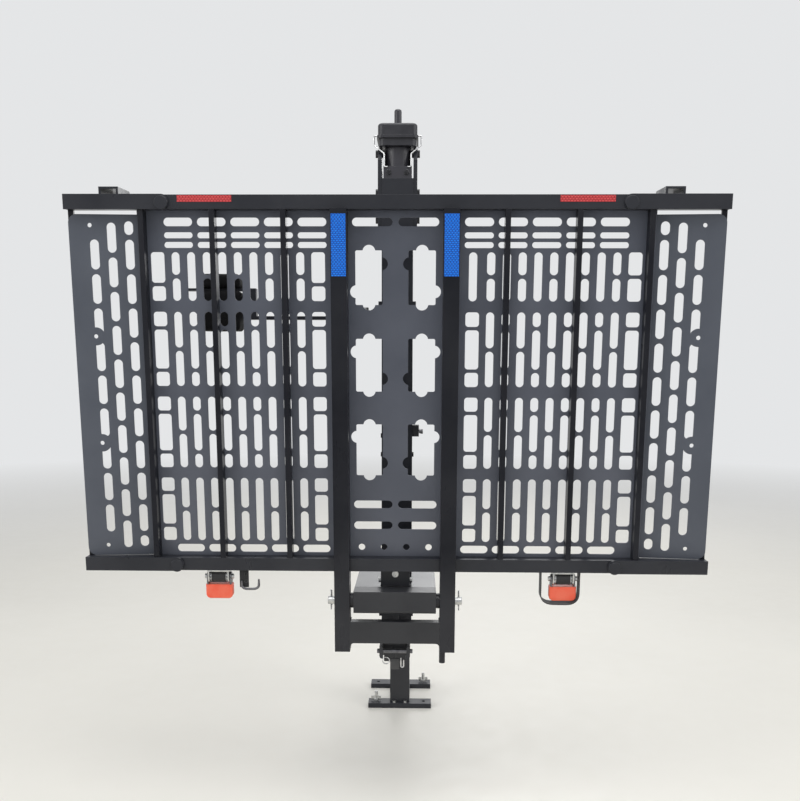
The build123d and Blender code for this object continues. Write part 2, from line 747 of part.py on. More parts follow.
centre_edge = (ARM_SPACING - SEAM_GAP) / 2
add_stored("centre_deck_panel", deck_plate(-centre_edge, centre_edge, centre_panel_holes()))
add_stored("left_deck_panel", deck_plate(-PANEL_EDGE_X, -PANEL_INNER_X, side_panel_holes(-1)))
add_stored("right_deck_panel", deck_plate(PANEL_INNER_X, PANEL_EDGE_X, side_panel_holes(1)))
add_stored("left_ramp_plate", ramp_plate(-1))
add_stored("right_ramp_plate", ramp_plate(1))


# Rails, laps, bosses, stiffeners

def rail(x_low, x_high, low):
    """A square tube along X, its lower edge at a height in the platform's frame."""
    y = (RAIL_FRONT, DECK_BACK)
    z = (low, low + RAIL_SIZE)
    inside = [(a + RAIL_WALL, b - RAIL_WALL) for a, b in (y, z)]
    return span((x_low, x_high), y, z) - span((x_low, x_high), *inside)


def lap(side, middle):
    """A plate over the end of a rail, with a round inner end."""
    outer = HALF_WIDTH
    centre = (outer + LAP_START) / 2
    straight = Pos(side * centre, middle) * Rectangle(outer - LAP_START, LAP_HEIGHT)
    shape = straight + Pos(side * LAP_START, middle) * Circle(LAP_HEIGHT / 2)
    return stand_plate(shape.face(), LAP_FRONT, LAP_THICKNESS)


def boss(side, middle):
    """A round boss on a lap plate."""
    y = (LAP_FRONT - BOSS_THICKNESS, LAP_FRONT)
    disc = rod_y(side * LAP_START, y, middle - BOSS_DROP, BOSS_DIAMETER)
    return chamfer(disc.edges().group_by(Axis.Y)[0], BOSS_THICKNESS / 4)


def stiffener(x):
    """A flat bar on edge under the deck, from rail to rail."""
    y = (DECK_UNDER - STIFFENER_DEPTH, DECK_UNDER)
    return span(both(x, STIFFENER_WIDTH), y, (DECK_LOW, DECK_HIGH))


rail_lows = (RAIL_ABOVE_PIVOT, DECK_HIGH)
rail_middles = [low + RAIL_SIZE / 2 for low in rail_lows]
add_stored("upper_rail", rail(-HALF_WIDTH, HALF_WIDTH, rail_lows[1]))
add_stored(
    "lower_rail",
    rail(-HALF_WIDTH, -ARM_OUTER_X, rail_lows[0]),
    rail(-ARM_INNER_X, ARM_INNER_X, rail_lows[0]),
    rail(ARM_OUTER_X, HALF_WIDTH, rail_lows[0]),
)
ends = [(side, middle) for side in SIDES for middle in rail_middles]
add_stored("rail_end_plates", *[lap(*end) + boss(*end) for end in ends])
last_bar = PANEL_EDGE_X - FOLD_BAR_INSET - STIFFENER_WIDTH / 2
bar_count = int((last_bar - ARM_OUTER_X) / STIFFENER_SPACING) + 1
bar_places = [last_bar - index * STIFFENER_SPACING for index in range(bar_count)]
add_stored("deck_stiffeners", *[stiffener(side * x) for side in SIDES for x in bar_places])


def ramp_edge_bar(side):
    """The bar behind a ramp's outer edge, which ties it to the rails."""
    x = sorted((side * (RAMP_LENGTH - EDGE_BAR_WIDTH), side * RAMP_LENGTH))
    y = (DECK_THICKNESS, DECK_THICKNESS + EDGE_BAR_DEPTH)
    return ramp_place(side) * span(x, y, (DECK_LOW, DECK_HIGH))


add_stored("ramp_edge_bars", ramp_edge_bar(-1), ramp_edge_bar(1))


# Arms

def arm(side):
    """A rectangular tube from the upper rail down past the pivot, bored for the shaft."""
    x = both(side * ARM_SPACING / 2, ARM_WIDTH)
    y = (-ARM_DEPTH / 2, ARM_DEPTH / 2)
    inside = [(a + ARM_WALL, b - ARM_WALL) for a, b in (x, y)]
    z = (-LEG_LENGTH, DECK_HIGH)
    tube = span(x, y, z) - span(*inside, (-LEG_LENGTH + LEG_CAP_THICKNESS, DECK_HIGH))
    return tube - rod_x(x, 0, 0, SHAFT_DIAMETER + 2 * RUNNING_CLEARANCE)


def cross_plate():
    """The plate between the legs, with rounded lower corners and a flange along its top."""
    low = -CROSS_TOP - CROSS_HEIGHT
    outline = Pos(0, low + CROSS_HEIGHT / 2) * Rectangle(2 * ARM_INNER_X, CROSS_HEIGHT)
    for side in SIDES:
        corner = side * (ARM_INNER_X - CROSS_CORNER / 2)
        square = Pos(corner, low - CROSS_CORNER / 2) * Rectangle(CROSS_CORNER, CROSS_CORNER)
        cut = Pos(side * (ARM_INNER_X - CROSS_CORNER), low - CROSS_CORNER) * Circle(CROSS_CORNER)
        outline += square - cut
    front = -ARM_DEPTH / 2
    plate = stand_plate(outline.face(), front, CROSS_THICKNESS)
    y = (front + CROSS_THICKNESS, front + CROSS_FLANGE)
    flange = span((-ARM_INNER_X, ARM_INNER_X), y, (-CROSS_TOP - CROSS_THICKNESS, -CROSS_TOP))
    return plate + flange


def blue_tape(side):
    """Reflective tape on an arm's front."""
    y = (-ARM_DEPTH / 2 - TAPE_THICKNESS, -ARM_DEPTH / 2)
    top = at_height(PLATFORM_DEPTH - BLUE_TAPE_TOP_MARGIN)
    return span(both(side * ARM_SPACING / 2, BLUE_TAPE_WIDTH), y, (top - BLUE_TAPE_LENGTH, top))


def red_tape(side):
    """Reflective tape on the upper rail's front."""
    y = (RAIL_FRONT - TAPE_THICKNESS, RAIL_FRONT)
    top = DECK_HIGH + RAIL_SIZE - RED_TAPE_BELOW_EDGE
    return span(both(side * RED_TAPE_X, RED_TAPE_LENGTH), y, (top - RED_TAPE_HEIGHT, top))


add_stored("left_swing_arm", arm(-1))
stud_z = (-LEG_LENGTH - STOP_STUD_LENGTH, -LEG_LENGTH)
stop_stud = rod_z(ARM_SPACING / 2 - STOP_STUD_SHIFT, 0, stud_z, STOP_STUD_DIAMETER)
add_stored("right_swing_arm", arm(1) + stop_stud)
add_stored("cross_plate", cross_plate())
add_stored("blue_reflective_tapes", blue_tape(-1), blue_tape(1))
add_stored("red_reflective_tapes", red_tape(-1), red_tape(1))


def tie_down_pocket(side):
    """A bent strap on the upper rail's outer face, open at both ends."""
    low = DECK_HIGH + RAIL_SIZE
    x = both(side * POCKET_X + FITTINGS_SHIFT, POCKET_WIDTH)
    y = (RAIL_FRONT, RAIL_FRONT + POCKET_DEPTH)
    strap = span(x, y, (low, low + POCKET_HEIGHT))
    inside = (x[0] + POCKET_WALL, x[1] - POCKET_WALL)
    return strap - span(inside, y, (low, low + POCKET_HEIGHT - POCKET_WALL))


add_stored("tie_down_pockets", tie_down_pocket(-1), tie_down_pocket(1))


# Strap ratchets

shaft_z = RAIL_ABOVE_PIVOT - RATCHET_SHAFT_DROP
spool_gap = RATCHET_PLATE_GAP / 2
plate_out = spool_gap + RATCHET_PLATE_THICKNESS
handle_inner = plate_out + HANDLE_SIDE_GAP
handle_outer = handle_inner + HANDLE_PLATE_THICKNESS
ratchet_y = (RAIL_FRONT + DECK_BACK) / 2
grip_top = shaft_z - HANDLE_GRIP_DROP


def ratchet_x(side):
    """The middle of a ratchet."""
    return side * RATCHET_X + FITTINGS_SHIFT


def ratchet_frame(side):
    """Two round-ended side plates and a top plate under the lower rail, bored for the spool."""
    x = ratchet_x(side)
    y = both(ratchet_y, 2 * RATCHET_PLATE_RADIUS)
    top = (RAIL_ABOVE_PIVOT - RATCHET_PLATE_THICKNESS, RAIL_ABOVE_PIVOT)
    frame = span((x - plate_out, x + plate_out), y, top)
    for end in SIDES:
        wall = sorted((x + end * spool_gap, x + end * plate_out))
        frame += span(wall, y, (shaft_z, RAIL_ABOVE_PIVOT))
        frame += rod_x(wall, ratchet_y, shaft_z, 2 * RATCHET_PLATE_RADIUS)
    return frame - rod_x((x - plate_out, x + plate_out), ratchet_y, shaft_z, RATCHET_SHAFT_DIAMETER)


def ratchet_spool(side):
    """The spool with its shaft, which sticks out of the frame on both sides."""
    x = ratchet_x(side)
    drum = spool_gap - RATCHET_SPOOL_SIDE_GAP
    reach = handle_outer + RATCHET_SHAFT_OVERHANG
    spool = rod_x((x - reach, x + reach), ratchet_y, shaft_z, RATCHET_SHAFT_DIAMETER)
    return spool + rod_x((x - drum, x + drum), ratchet_y, shaft_z, RATCHET_SPOOL_DIAMETER)


def handle_plate(side, end):
    """One side plate of a handle, turning on the end of the spool's shaft."""
    x = ratchet_x(side)
    wall = sorted((x + end * handle_inner, x + end * handle_outer))
    plate = span(wall, both(ratchet_y, HANDLE_PLATE_WIDTH), (grip_top, shaft_z))
    plate += rod_x(wall, ratchet_y, shaft_z, HANDLE_PLATE_WIDTH)
    return plate - rod_x(wall, ratchet_y, shaft_z, RATCHET_SHAFT_DIAMETER + 2 * RUNNING_CLEARANCE)


def handle_grip(side):
    """The moulded grip that joins a handle's two side plates."""
    x = ratchet_x(side)
    z = (grip_top - HANDLE_GRIP_HEIGHT, grip_top)
    grip = span(both(x, HANDLE_GRIP_WIDTH), both(ratchet_y, HANDLE_GRIP_THICKNESS), z)
    grip = fillet(grip.edges().filter_by(Axis.Y).group_by(Axis.Z)[0], HANDLE_GRIP_CORNER)
    low_edges = grip.faces().sort_by(Axis.Y)[0].edges() + grip.faces().sort_by(Axis.Y)[-1].edges()
    kept = [edge for edge in low_edges if edge.center().Z < grip_top - 0.1]
    return fillet(kept, HANDLE_GRIP_EDGE)


def strap_loop():
    """The free end of the right strap, folded into an open loop round the handle."""
    low = RAIL_ABOVE_PIVOT - STRAP_LOOP_DROP
    middle = ratchet_x(1) + (STRAP_LOOP_LEFT + STRAP_LOOP_RIGHT) / 2
    width = STRAP_LOOP_RIGHT - STRAP_LOOP_LEFT
    height = 2 * STRAP_LOOP_DROP
    outer = RectangleRounded(width, height, STRAP_LOOP_RADIUS)
    thinner = 2 * STRAP_THICKNESS
    inner = RectangleRounded(width - thinner, height - thinner, STRAP_LOOP_RADIUS - STRAP_THICKNESS)
    upper_half = Pos(0, height / 2) * Rectangle(width, height)
    loop = Pos(middle, low + STRAP_LOOP_DROP) * (outer - inner - upper_half)
    return stand_plate(loop.face(), ratchet_y - STRAP_WIDTH / 2, STRAP_WIDTH)


def strap_hook():
    """A short strap under the left end of the rail and the wire hook sewn to it."""
    z = (RAIL_ABOVE_PIVOT - HOOK_STRAP_LENGTH, RAIL_ABOVE_PIVOT)
    front = RAIL_FRONT + HOOK_WIRE + HOOK_STRAP_BACK
    strap_x = ratchet_x(-1) + HOOK_STRAP_SHIFT
    strap = span(both(strap_x, HOOK_STRAP_WIDTH), (front, front + STRAP_THICKNESS), z)
    low = z[0] - HOOK_WIRE / 2
    y = front - HOOK_WIRE / 2
    start = strap_x - HOOK_STRAP_WIDTH / 4
    points = [
        (start, y, z[0] + HOOK_BEND * 2),
        (start, y, low),
        (start + HOOK_LENGTH, y, low),
        (start + HOOK_LENGTH, y, low + HOOK_RISE),
    ]
    return strap, wire_along(points, HOOK_BEND, HOOK_WIRE)


ratchets = [make(side) for side in SIDES for make in (ratchet_frame, ratchet_spool)]
add_stored("ratchet_frames_and_spools", *ratchets)
add_stored("left_handle_plates", handle_plate(-1, -1), handle_plate(-1, 1))
add_stored("right_handle_plates", handle_plate(1, -1), handle_plate(1, 1))
add_stored("left_handle_grip", handle_grip(-1))
add_stored("right_handle_grip", handle_grip(1))
add_stored("strap_loop", strap_loop())
add_stored("strap_hook", *strap_hook())


# Pivot box, shaft, bushes and clips

box_x = (-BOX_WIDTH / 2, BOX_WIDTH / 2)
shaft_end = ARM_OUTER_X + SHAFT_END_OUT


def pivot_box():
    """A square tube with rounded lower edges and a bored plate in each end."""
    y = both(PIVOT_Y, BOX_SIZE)
    z = both(PIVOT_Z, BOX_SIZE)
    box = span(box_x, y, z)
    box = fillet(box.edges().filter_by(Axis.X).group_by(Axis.Z)[0], BOX_CORNER)
    inside_x = (box_x[0] + BOX_END_THICKNESS, box_x[1] - BOX_END_THICKNESS)
    inside = [(a + BOX_WALL, b - BOX_WALL) for a, b in (y, z)]
    return box - span(inside_x, *inside) - rod_x(box_x, PIVOT_Y, PIVOT_Z, SHAFT_DIAMETER)


def shaft_clip(side):
    """A hairpin clip: one leg in the shaft's cross hole, the other beside the shaft."""
    x = side * (shaft_end - CLIP_FROM_END)
    back = PIVOT_Y + (SHAFT_DIAMETER + CLIP_WIRE) / 2 + CLIP_HOLE_CLEARANCE
    low, high = both(PIVOT_Z, CLIP_HEIGHT)
    points = [(x, PIVOT_Y, low), (x, PIVOT_Y, high), (x, back, high), (x, back, high - CLIP_SHORT_LEG)]
    return wire_along(points, CLIP_BEND, CLIP_WIRE)


shaft = rod_x((-shaft_end, shaft_end), PIVOT_Y, PIVOT_Z, SHAFT_DIAMETER)
shaft = chamfer(shaft.edges(), SHAFT_CHAMFER)
bushes = []
for side in SIDES:
    bush_x = sorted((side * BOX_WIDTH / 2, side * (ARM_INNER_X - BUSH_SIDE_CLEARANCE)))
    bush = rod_x(bush_x, PIVOT_Y, PIVOT_Z, BUSH_DIAMETER)
    bushes.append(bush - rod_x(bush_x, PIVOT_Y, PIVOT_Z, SHAFT_DIAMETER))
    cross_hole = both(PIVOT_Z, CLIP_HEIGHT)
    hole_diameter = CLIP_WIRE + CLIP_HOLE_CLEARANCE
    shaft -= rod_z(side * (shaft_end - CLIP_FROM_END), PIVOT_Y, cross_hole, hole_diameter)
add("pivot_box", pivot_box())
add("pivot_shaft", shaft)
add("pivot_bushes", *bushes)
add("shaft_clips", shaft_clip(-1), shaft_clip(1))


# Carriage: top plate, web, cheeks, latch and lock brackets, inner tube

web_x = (-WEB_THICKNESS / 2, WEB_THICKNESS / 2)
web_front = MAST_FRONT_Y - WEB_FRONT_OUT
inner_front = MAST_Y - INNER_TUBE_SIZE / 2


def top_plate():
    """The plate from the pivot box to the mast, with a wing on each side and two ribs under it."""
    z = (PLATE_BOTTOM_Z, BOX_TOP_Z)
    plate = span(box_x, (BOX_BACK_Y, MAST_FRONT_Y + TOP_PLATE_WING), z)
    opening_y = (MAST_FRONT_Y - MAST_PLATE_CLEARANCE, MAST_BACK_Y)
    plate -= span((-CHEEK_INNER_X, CHEEK_INNER_X), opening_y, z)
    for side in SIDES:
        rib_y = (BOX_BACK_Y, MAST_FRONT_Y - 2 * MAST_PLATE_CLEARANCE)
        plate += span(both(side * RIB_X, RIB_THICKNESS), rib_y, (z[0] - RIB_HEIGHT, z[0]))
    return plate


def carriage_web():
    """The upright plate that ties the pivot box to the tube inside the mast."""
    outline = Polyline(
        (BOX_BACK_Y, PLATE_BOTTOM_Z),
        (inner_front, PLATE_BOTTOM_Z),
        (inner_front, WEB_BOTTOM_Z),
        (LOCK_BACK_Y, WEB_BOTTOM_Z),
        (LOCK_BACK_Y, WEB_BOTTOM_Z + WEB_LOW_ARM_HEIGHT),
        (web_front, WEB_BOTTOM_Z + WEB_LOW_ARM_HEIGHT),
        (web_front, PLATE_BOTTOM_Z - RIB_HEIGHT),
        (BOX_BACK_Y, PLATE_BOTTOM_Z - RIB_HEIGHT),
        close=True,
    )
    face = Plane.YZ * make_face(outline)
    return Pos(web_x[0], 0, 0) * extrude(face, WEB_THICKNESS, dir=(1, 0, 0))


def cheek(side):
    """An L plate: one leg flanks the mast, the other runs in front of it to the web."""
    z = (PLATE_BOTTOM_Z - CHEEK_HEIGHT, PLATE_BOTTOM_Z)
    flank = span(sorted((side * CHEEK_INNER_X, side * CHEEK_OUTER_X)),
                 (web_front, web_front + CHEEK_DEPTH), z)
    front = span(sorted((side * web_x[1], side * CHEEK_INNER_X)),
                 (web_front, web_front + CHEEK_FRONT_THICKNESS), z)
    return flank + front


def latch_bracket():
    """The channel that stands on the top plate behind the lower rail."""
    front = BOX_BACK_Y + LATCH_BEHIND_BOX
    x = both(0, LATCH_WIDTH)
    z = (BOX_TOP_Z, BOX_TOP_Z + LATCH_HEIGHT)
    channel = span(x, (front, front + LATCH_DEPTH), z)
    inside = (x[0] + LATCH_THICKNESS, x[1] - LATCH_THICKNESS)
    channel -= span(inside, (front + LATCH_THICKNESS, front + LATCH_DEPTH), z)
    channel -= rod_y(0, (front, front + LATCH_THICKNESS), BOX_TOP_Z + LATCH_BOLT_RISE, LATCH_BOLT_DIAMETER)
    return channel - rod_x(x, latch_pin_y, BOX_TOP_Z + CROSS_PIN_RISE, CROSS_PIN_DIAMETER)


latch_pin_y = BOX_BACK_Y + LATCH_BEHIND_BOX + LATCH_THICKNESS + CROSS_PIN_DIAMETER / 2 + CROSS_PIN_BEHIND
latch_face_y = BOX_BACK_Y + LATCH_BEHIND_BOX
latch_bolt_z = BOX_TOP_Z + LATCH_BOLT_RISE
latch_bolt = rod_y(0, (latch_face_y, latch_face_y + LATCH_BOLT_LENGTH), latch_bolt_z, LATCH_BOLT_DIAMETER)
head_y = (latch_face_y - LATCH_BOLT_HEAD_HEIGHT, latch_face_y)
latch_bolt += rod_y(0, head_y, latch_bolt_z, LATCH_BOLT_HEAD)
latch_bolt -= rod_y(0, (head_y[0], head_y[0] + LATCH_BOLT_SOCKET_DEPTH), latch_bolt_z, LATCH_BOLT_SOCKET)
latch_pin = rod_x(both(0, CROSS_PIN_LENGTH), latch_pin_y, BOX_TOP_Z + CROSS_PIN_RISE, CROSS_PIN_DIAMETER)
lock_pin_y = LOCK_BACK_Y - LOCK_PIN_FROM_BACK
lock_pin_z = LOCK_BOTTOM_Z + LOCK_PIN_RISE
lock_half = LOCK_WIDTH / 2


def lock_bracket():
    """The channel at the end of the web's low arm, with a lug under it for the tag."""
    outline = Pos(0, (LOCK_TOP_Z + LOCK_BOTTOM_Z) / 2) * Rectangle(LOCK_WIDTH, LOCK_HEIGHT)
    outline = fillet(outline.vertices().group_by(Axis.Y)[0], LOCK_CORNER)
    front = LOCK_BACK_Y - LOCK_DEPTH
    channel = stand_plate(outline.face(), front, LOCK_DEPTH)
    inside = lock_half - LOCK_EAR_THICKNESS
    channel -= span((-inside, inside), (front, LOCK_FACE_Y), (LOCK_BOTTOM_Z, LOCK_TOP_Z))
    lug_z = (LOCK_BOTTOM_Z - LUG_HEIGHT, LOCK_BOTTOM_Z)
    channel += span(both(0, LUG_WIDTH), (LOCK_FACE_Y, LOCK_BACK_Y), lug_z)
    return channel - rod_x((-lock_half, lock_half), lock_pin_y, lock_pin_z, LOCK_PIN_DIAMETER)


def tag_set():
    """The ring, the blank tag and the small hairpin that hang on the lug."""
    lug_low = LOCK_BOTTOM_Z - LUG_HEIGHT
    wire_y = LOCK_FACE_Y - RING_WIRE / 2
    loop = ring(RING_X, wire_y, lug_low + RING_ABOVE_LUG_EDGE, RING_RADIUS, RING_WIRE, (90, 0, 0))
    tag_top = lug_low + TAG_OVERLAP
    tag = span(both(0, TAG_WIDTH), (LOCK_FACE_Y - TAG_THICKNESS, LOCK_FACE_Y),
               (tag_top - TAG_HEIGHT, tag_top))
    clip_high = tag_top + TAG_CLIP_RISE
    points = [
        (TAG_CLIP_X, wire_y, clip_high),
        (TAG_CLIP_X, wire_y, clip_high - TAG_CLIP_LENGTH),
        (TAG_CLIP_X + TAG_CLIP_WIDTH, wire_y, clip_high - TAG_CLIP_LENGTH),
        (TAG_CLIP_X + TAG_CLIP_WIDTH, wire_y, tag_top - TAG_CLIP_RISE),
    ]
    return loop, tag, wire_along(points, RING_WIRE, RING_WIRE)


lock_pin = rod_x((-lock_half - LOCK_PIN_OUT, lock_half + LOCK_PIN_OUT), lock_pin_y, lock_pin_z,
                 LOCK_PIN_DIAMETER)
tube_z = (INNER_TUBE_BOTTOM_Z, INNER_TUBE_TOP_Z)
hollow = INNER_TUBE_SIZE - 2 * INNER_TUBE_WALL
inner_tube = span(both(0, INNER_TUBE_SIZE), both(MAST_Y, INNER_TUBE_SIZE), tube_z)
inner_tube -= span(both(0, hollow), both(MAST_Y, hollow), tube_z)
nut_z = (INNER_TUBE_TOP_Z - NUT_HEIGHT, INNER_TUBE_TOP_Z)
nut = span(both(0, hollow), both(MAST_Y, hollow), nut_z)
nut -= rod_z(0, MAST_Y, nut_z, SCREW_DIAMETER + 2 * RUNNING_CLEARANCE)
add("top_plate", top_plate())
add("carriage_web", carriage_web())
add("cheek_plates", cheek(-1), cheek(1))
add("latch_bracket", latch_bracket())
add("latch_bolt_and_pin", latch_bolt, latch_pin)
add("lock_bracket", lock_bracket())
add("lock_pin", chamfer(lock_pin.edges(), 1.0))
add("lock_ring_tag_and_clip", *tag_set())
add("inner_tube", inner_tube)
add("drive_nut", nut)


# Mast

def mast_tube():
    """The outer tube with a slot in its front wall for the carriage's web."""
    z = (MAST_BOTTOM_Z, MAST_TOP_Z)
    inside = MAST_SIZE - 2 * MAST_WALL
    tube = span(both(0, MAST_SIZE), both(MAST_Y, MAST_SIZE), z)
    tube -= span(both(0, inside), both(MAST_Y, inside), z)
    slot_z = (MAST_BOTTOM_Z, PLATE_BOTTOM_Z + MAST_SLOT_CLEARANCE)
    slot_y = (MAST_FRONT_Y, MAST_FRONT_Y + MAST_WALL)
    tube -= span(both(0, MAST_SLOT_WIDTH), slot_y, slot_z)
    for side in SIDES:
        wall = sorted((side * inside / 2, side * MAST_SIZE / 2))
        for height in HEAD_BOLT_Z[:2]:
            tube -= rod_x(wall, head_bolt_y, height, HEAD_BOLT_DIAMETER)
    return tube


def glide_pad(centre_z, slotted):
    """A square plastic ring between the mast and the tube inside it."""
    outer = MAST_SIZE - 2 * MAST_WALL
    inner = INNER_TUBE_SIZE + 2 * PAD_CLEARANCE
    z = both(centre_z, PAD_HEIGHT)
    pad = span(both(0, outer), both(MAST_Y, outer), z)
    pad -= span(both(0, inner), both(MAST_Y, inner), z)
    if slotted:
        pad -= span(both(0, MAST_SLOT_WIDTH), (MAST_Y - outer / 2, MAST_Y), z)
    return pad


def side_plate(side):
    """A plate on the side of the mast's head, tapered at the top."""
    half = SIDE_PLATE_DEPTH / 2
    low, high = SIDE_PLATE_BOTTOM_Z, SIDE_PLATE_TOP_Z
    outline = Polyline(
        (MAST_Y - half, low),
        (MAST_Y + half, low),
        (MAST_Y + half, high - SIDE_PLATE_TAPER),
        (MAST_Y + half / 2, high),
        (MAST_Y - half / 2, high),
        (MAST_Y - half, high - SIDE_PLATE_TAPER),
        close=True,
    )
    start = MAST_SIZE / 2 if side == 1 else -MAST_SIZE / 2 - SIDE_PLATE_THICKNESS
    plate = extrude(Plane.YZ * make_face(outline), SIDE_PLATE_THICKNESS, dir=(1, 0, 0))
    plate = Pos(start, 0, 0) * plate
    for height in HEAD_BOLT_Z:
        plate -= rod_x((start, start + SIDE_PLATE_THICKNESS), head_bolt_y, height, HEAD_BOLT_DIAMETER)
    return plate


def head_bolt(side, height):
    """A bolt through a side plate, with a hexagon head outside."""
    outer = MAST_SIZE / 2 + SIDE_PLATE_THICKNESS
    inner = MAST_SIZE / 2 - MAST_WALL
    shank = rod_x(sorted((side * inner, side * outer)), head_bolt_y, height, HEAD_BOLT_DIAMETER)
    head = hex_x(sorted((side * outer, side * (outer + HEAD_BOLT_HEAD_HEIGHT))), head_bolt_y, height,
                 HEAD_BOLT_HEAD)
    if height > MAST_TOP_Z:
        nut_x = sorted((side * inner, side * MAST_SIZE / 2))
        shank += hex_x(nut_x, head_bolt_y, height, HEAD_BOLT_HEAD)
    return shank + head


def flange_bolt(side):
    """A hexagon bolt in the front of the drive flange."""
    x = side * FLANGE_BOLT_SPACING / 2
    front = MAST_Y - FLANGE_SIZE / 2
    middle = MAST_TOP_Z + FLANGE_HEIGHT / 2
    outline = RegularPolygon(FLANGE_BOLT_HEAD / 2, 6, major_radius=False)
    bolt = Pos(x, front, middle) * Rot(90, 0, 0) * extrude(outline, FLANGE_BOLT_HEAD_HEIGHT)
    return bolt + rod_y(x, (front, front + FLANGE_BOLT_LENGTH), middle, FLANGE_BOLT_DIAMETER)


def cap_clip(side):
    """A wire clip from the front of the flange, round the band and over the cap's rim."""
    flange_x = side * (FLANGE_SIZE / 2 - CAP_CLIP_FLANGE_INSET)
    out_x = side * (CAP_RIM_SIZE / 2 + CAP_CLIP_OUT)
    rim_x = side * (CAP_TOP_SIZE + CAP_CLIP_WIRE) / 2
    front = MAST_Y - (FLANGE_SIZE + CAP_CLIP_WIRE) / 2
    y = MAST_Y - CAP_CLIP_FORWARD
    over = RIM_TOP_Z + CAP_CLIP_WIRE / 2
    low = FLANGE_TOP_Z - CAP_CLIP_WIRE / 2
    points = [
        (flange_x - side * CAP_CLIP_END, front, low),
        (flange_x, front, low),
        (flange_x, front, MOTOR_TOP_Z - CAP_CLIP_KNEE_BELOW),
        (out_x, y, RIM_TOP_Z - CAP_CLIP_DROP),
        (out_x, y, over),
        (rim_x, y, over),
    ]
    return wire_along(points, CAP_CLIP_BEND, CAP_CLIP_WIRE)


def cap_block(size, z, radius):
    """A rounded square block of the motor cap."""
    face = Pos(0, MAST_Y, z[0]) * RectangleRounded(size, size, radius)
    return extrude(face, z[1] - z[0])


head_bolt_y = MAST_Y - HEAD_BOLT_FORWARD
column = (MAST_TOP_Z, CAP_TOP_Z)
column_bore = rod_z(0, MAST_Y, column, OVERRIDE_DIAMETER + 2 * RUNNING_CLEARANCE)
flange = span(both(0, FLANGE_SIZE), both(MAST_Y, FLANGE_SIZE), (MAST_TOP_Z, FLANGE_TOP_Z)) - column_bore
for side in SIDES:
    bolt_y = (MAST_Y - FLANGE_SIZE / 2, MAST_Y - FLANGE_SIZE / 2 + FLANGE_BOLT_LENGTH)
    flange -= rod_y(side * FLANGE_BOLT_SPACING / 2, bolt_y, MAST_TOP_Z + FLANGE_HEIGHT / 2,
                    FLANGE_BOLT_DIAMETER)
cap = cap_block(CAP_BAND_SIZE, (MOTOR_TOP_Z, RIM_BOTTOM_Z), CAP_CORNER)
cap += cap_block(CAP_RIM_SIZE, (RIM_BOTTOM_Z, RIM_TOP_Z), CAP_CORNER)
top_block = cap_block(CAP_TOP_SIZE, (RIM_TOP_Z, CAP_TOP_Z), CAP_CORNER)
cap += fillet(top_block.edges().group_by(Axis.Z)[-1], CAP_TOP_FILLET)
drive = rod_z(0, MAST_Y, (SCREW_BOTTOM_Z, MAST_TOP_Z - SCREW_TOP_GAP), SCREW_DIAMETER)
drive += rod_z(0, MAST_Y, (MAST_TOP_Z - SCREW_TOP_GAP, CAP_TOP_Z + OVERRIDE_HEIGHT), OVERRIDE_DIAMETER)
drive = fillet(drive.edges().group_by(Axis.Z)[-1], OVERRIDE_FILLET)
pad_screws = [
    rod_x(sorted((side * MAST_SIZE / 2, side * (MAST_SIZE / 2 + PAD_SCREW_HEAD_HEIGHT))), MAST_Y,
          UPPER_PAD_Z + shift * PAD_SCREW_SPACING / 2, PAD_SCREW_HEAD)
    for side, shift in ((-1, -1), (-1, 1), (1, -1))
]
bolts = [head_bolt(side, height) for side in SIDES for height in HEAD_BOLT_Z]
bolts += [flange_bolt(-1), flange_bolt(1)]
add("mast_tube", mast_tube())
add("glide_pads", glide_pad(LOWER_PAD_Z, True), glide_pad(UPPER_PAD_Z, False))
add("head_side_plates", side_plate(-1), side_plate(1))
add("mast_bolts", *bolts, *pad_screws)
add("cap_clips", cap_clip(-1), cap_clip(1))
add("drive_flange", flange)
add("motor_neck", rod_z(0, MAST_Y, (FLANGE_TOP_Z, MOTOR_TOP_Z), MOTOR_DIAMETER) - column_bore)
add("motor_cap", cap - column_bore)
add("drive_screw", drive)


# Limit switch

switch_out = MAST_SIZE / 2 + SWITCH_WIDTH
lever_in = switch_out + SWITCH_SIDE_GAP
lever_out = lever_in + SWITCH_LEVER_THICKNESS
pin_out = lever_out + SWITCH_SIDE_GAP
pin_y = MAST_Y - SWITCH_PIN_FORWARD
switch = span((MAST_SIZE / 2, switch_out), both(MAST_Y, SWITCH_DEPTH), both(SWITCH_Z, SWITCH_HEIGHT))
switch += rod_x((switch_out, pin_out), pin_y, SWITCH_Z, SWITCH_PIN_DIAMETER)
switch += rod_x((pin_out, pin_out + SWITCH_PIN_HEAD_THICKNESS), pin_y, SWITCH_Z, SWITCH_PIN_HEAD)
roller_y = pin_y - SWITCH_LEVER_LENGTH
lever = span((lever_in, lever_out), (roller_y, pin_y), both(SWITCH_Z, SWITCH_LEVER_WIDTH))
for end_y in (roller_y, pin_y):
    lever += rod_x((lever_in, lever_out), end_y, SWITCH_Z, SWITCH_LEVER_WIDTH)
lever += rod_x((lever_out, lever_out + SWITCH_ROLLER_WIDTH), roller_y, SWITCH_Z, SWITCH_ROLLER_DIAMETER)
lever -= rod_x((lever_in, lever_out), pin_y, SWITCH_Z, SWITCH_PIN_DIAMETER + 2 * RUNNING_CLEARANCE)
add("limit_switch", switch)
add("switch_lever", lever)


# Hold-down

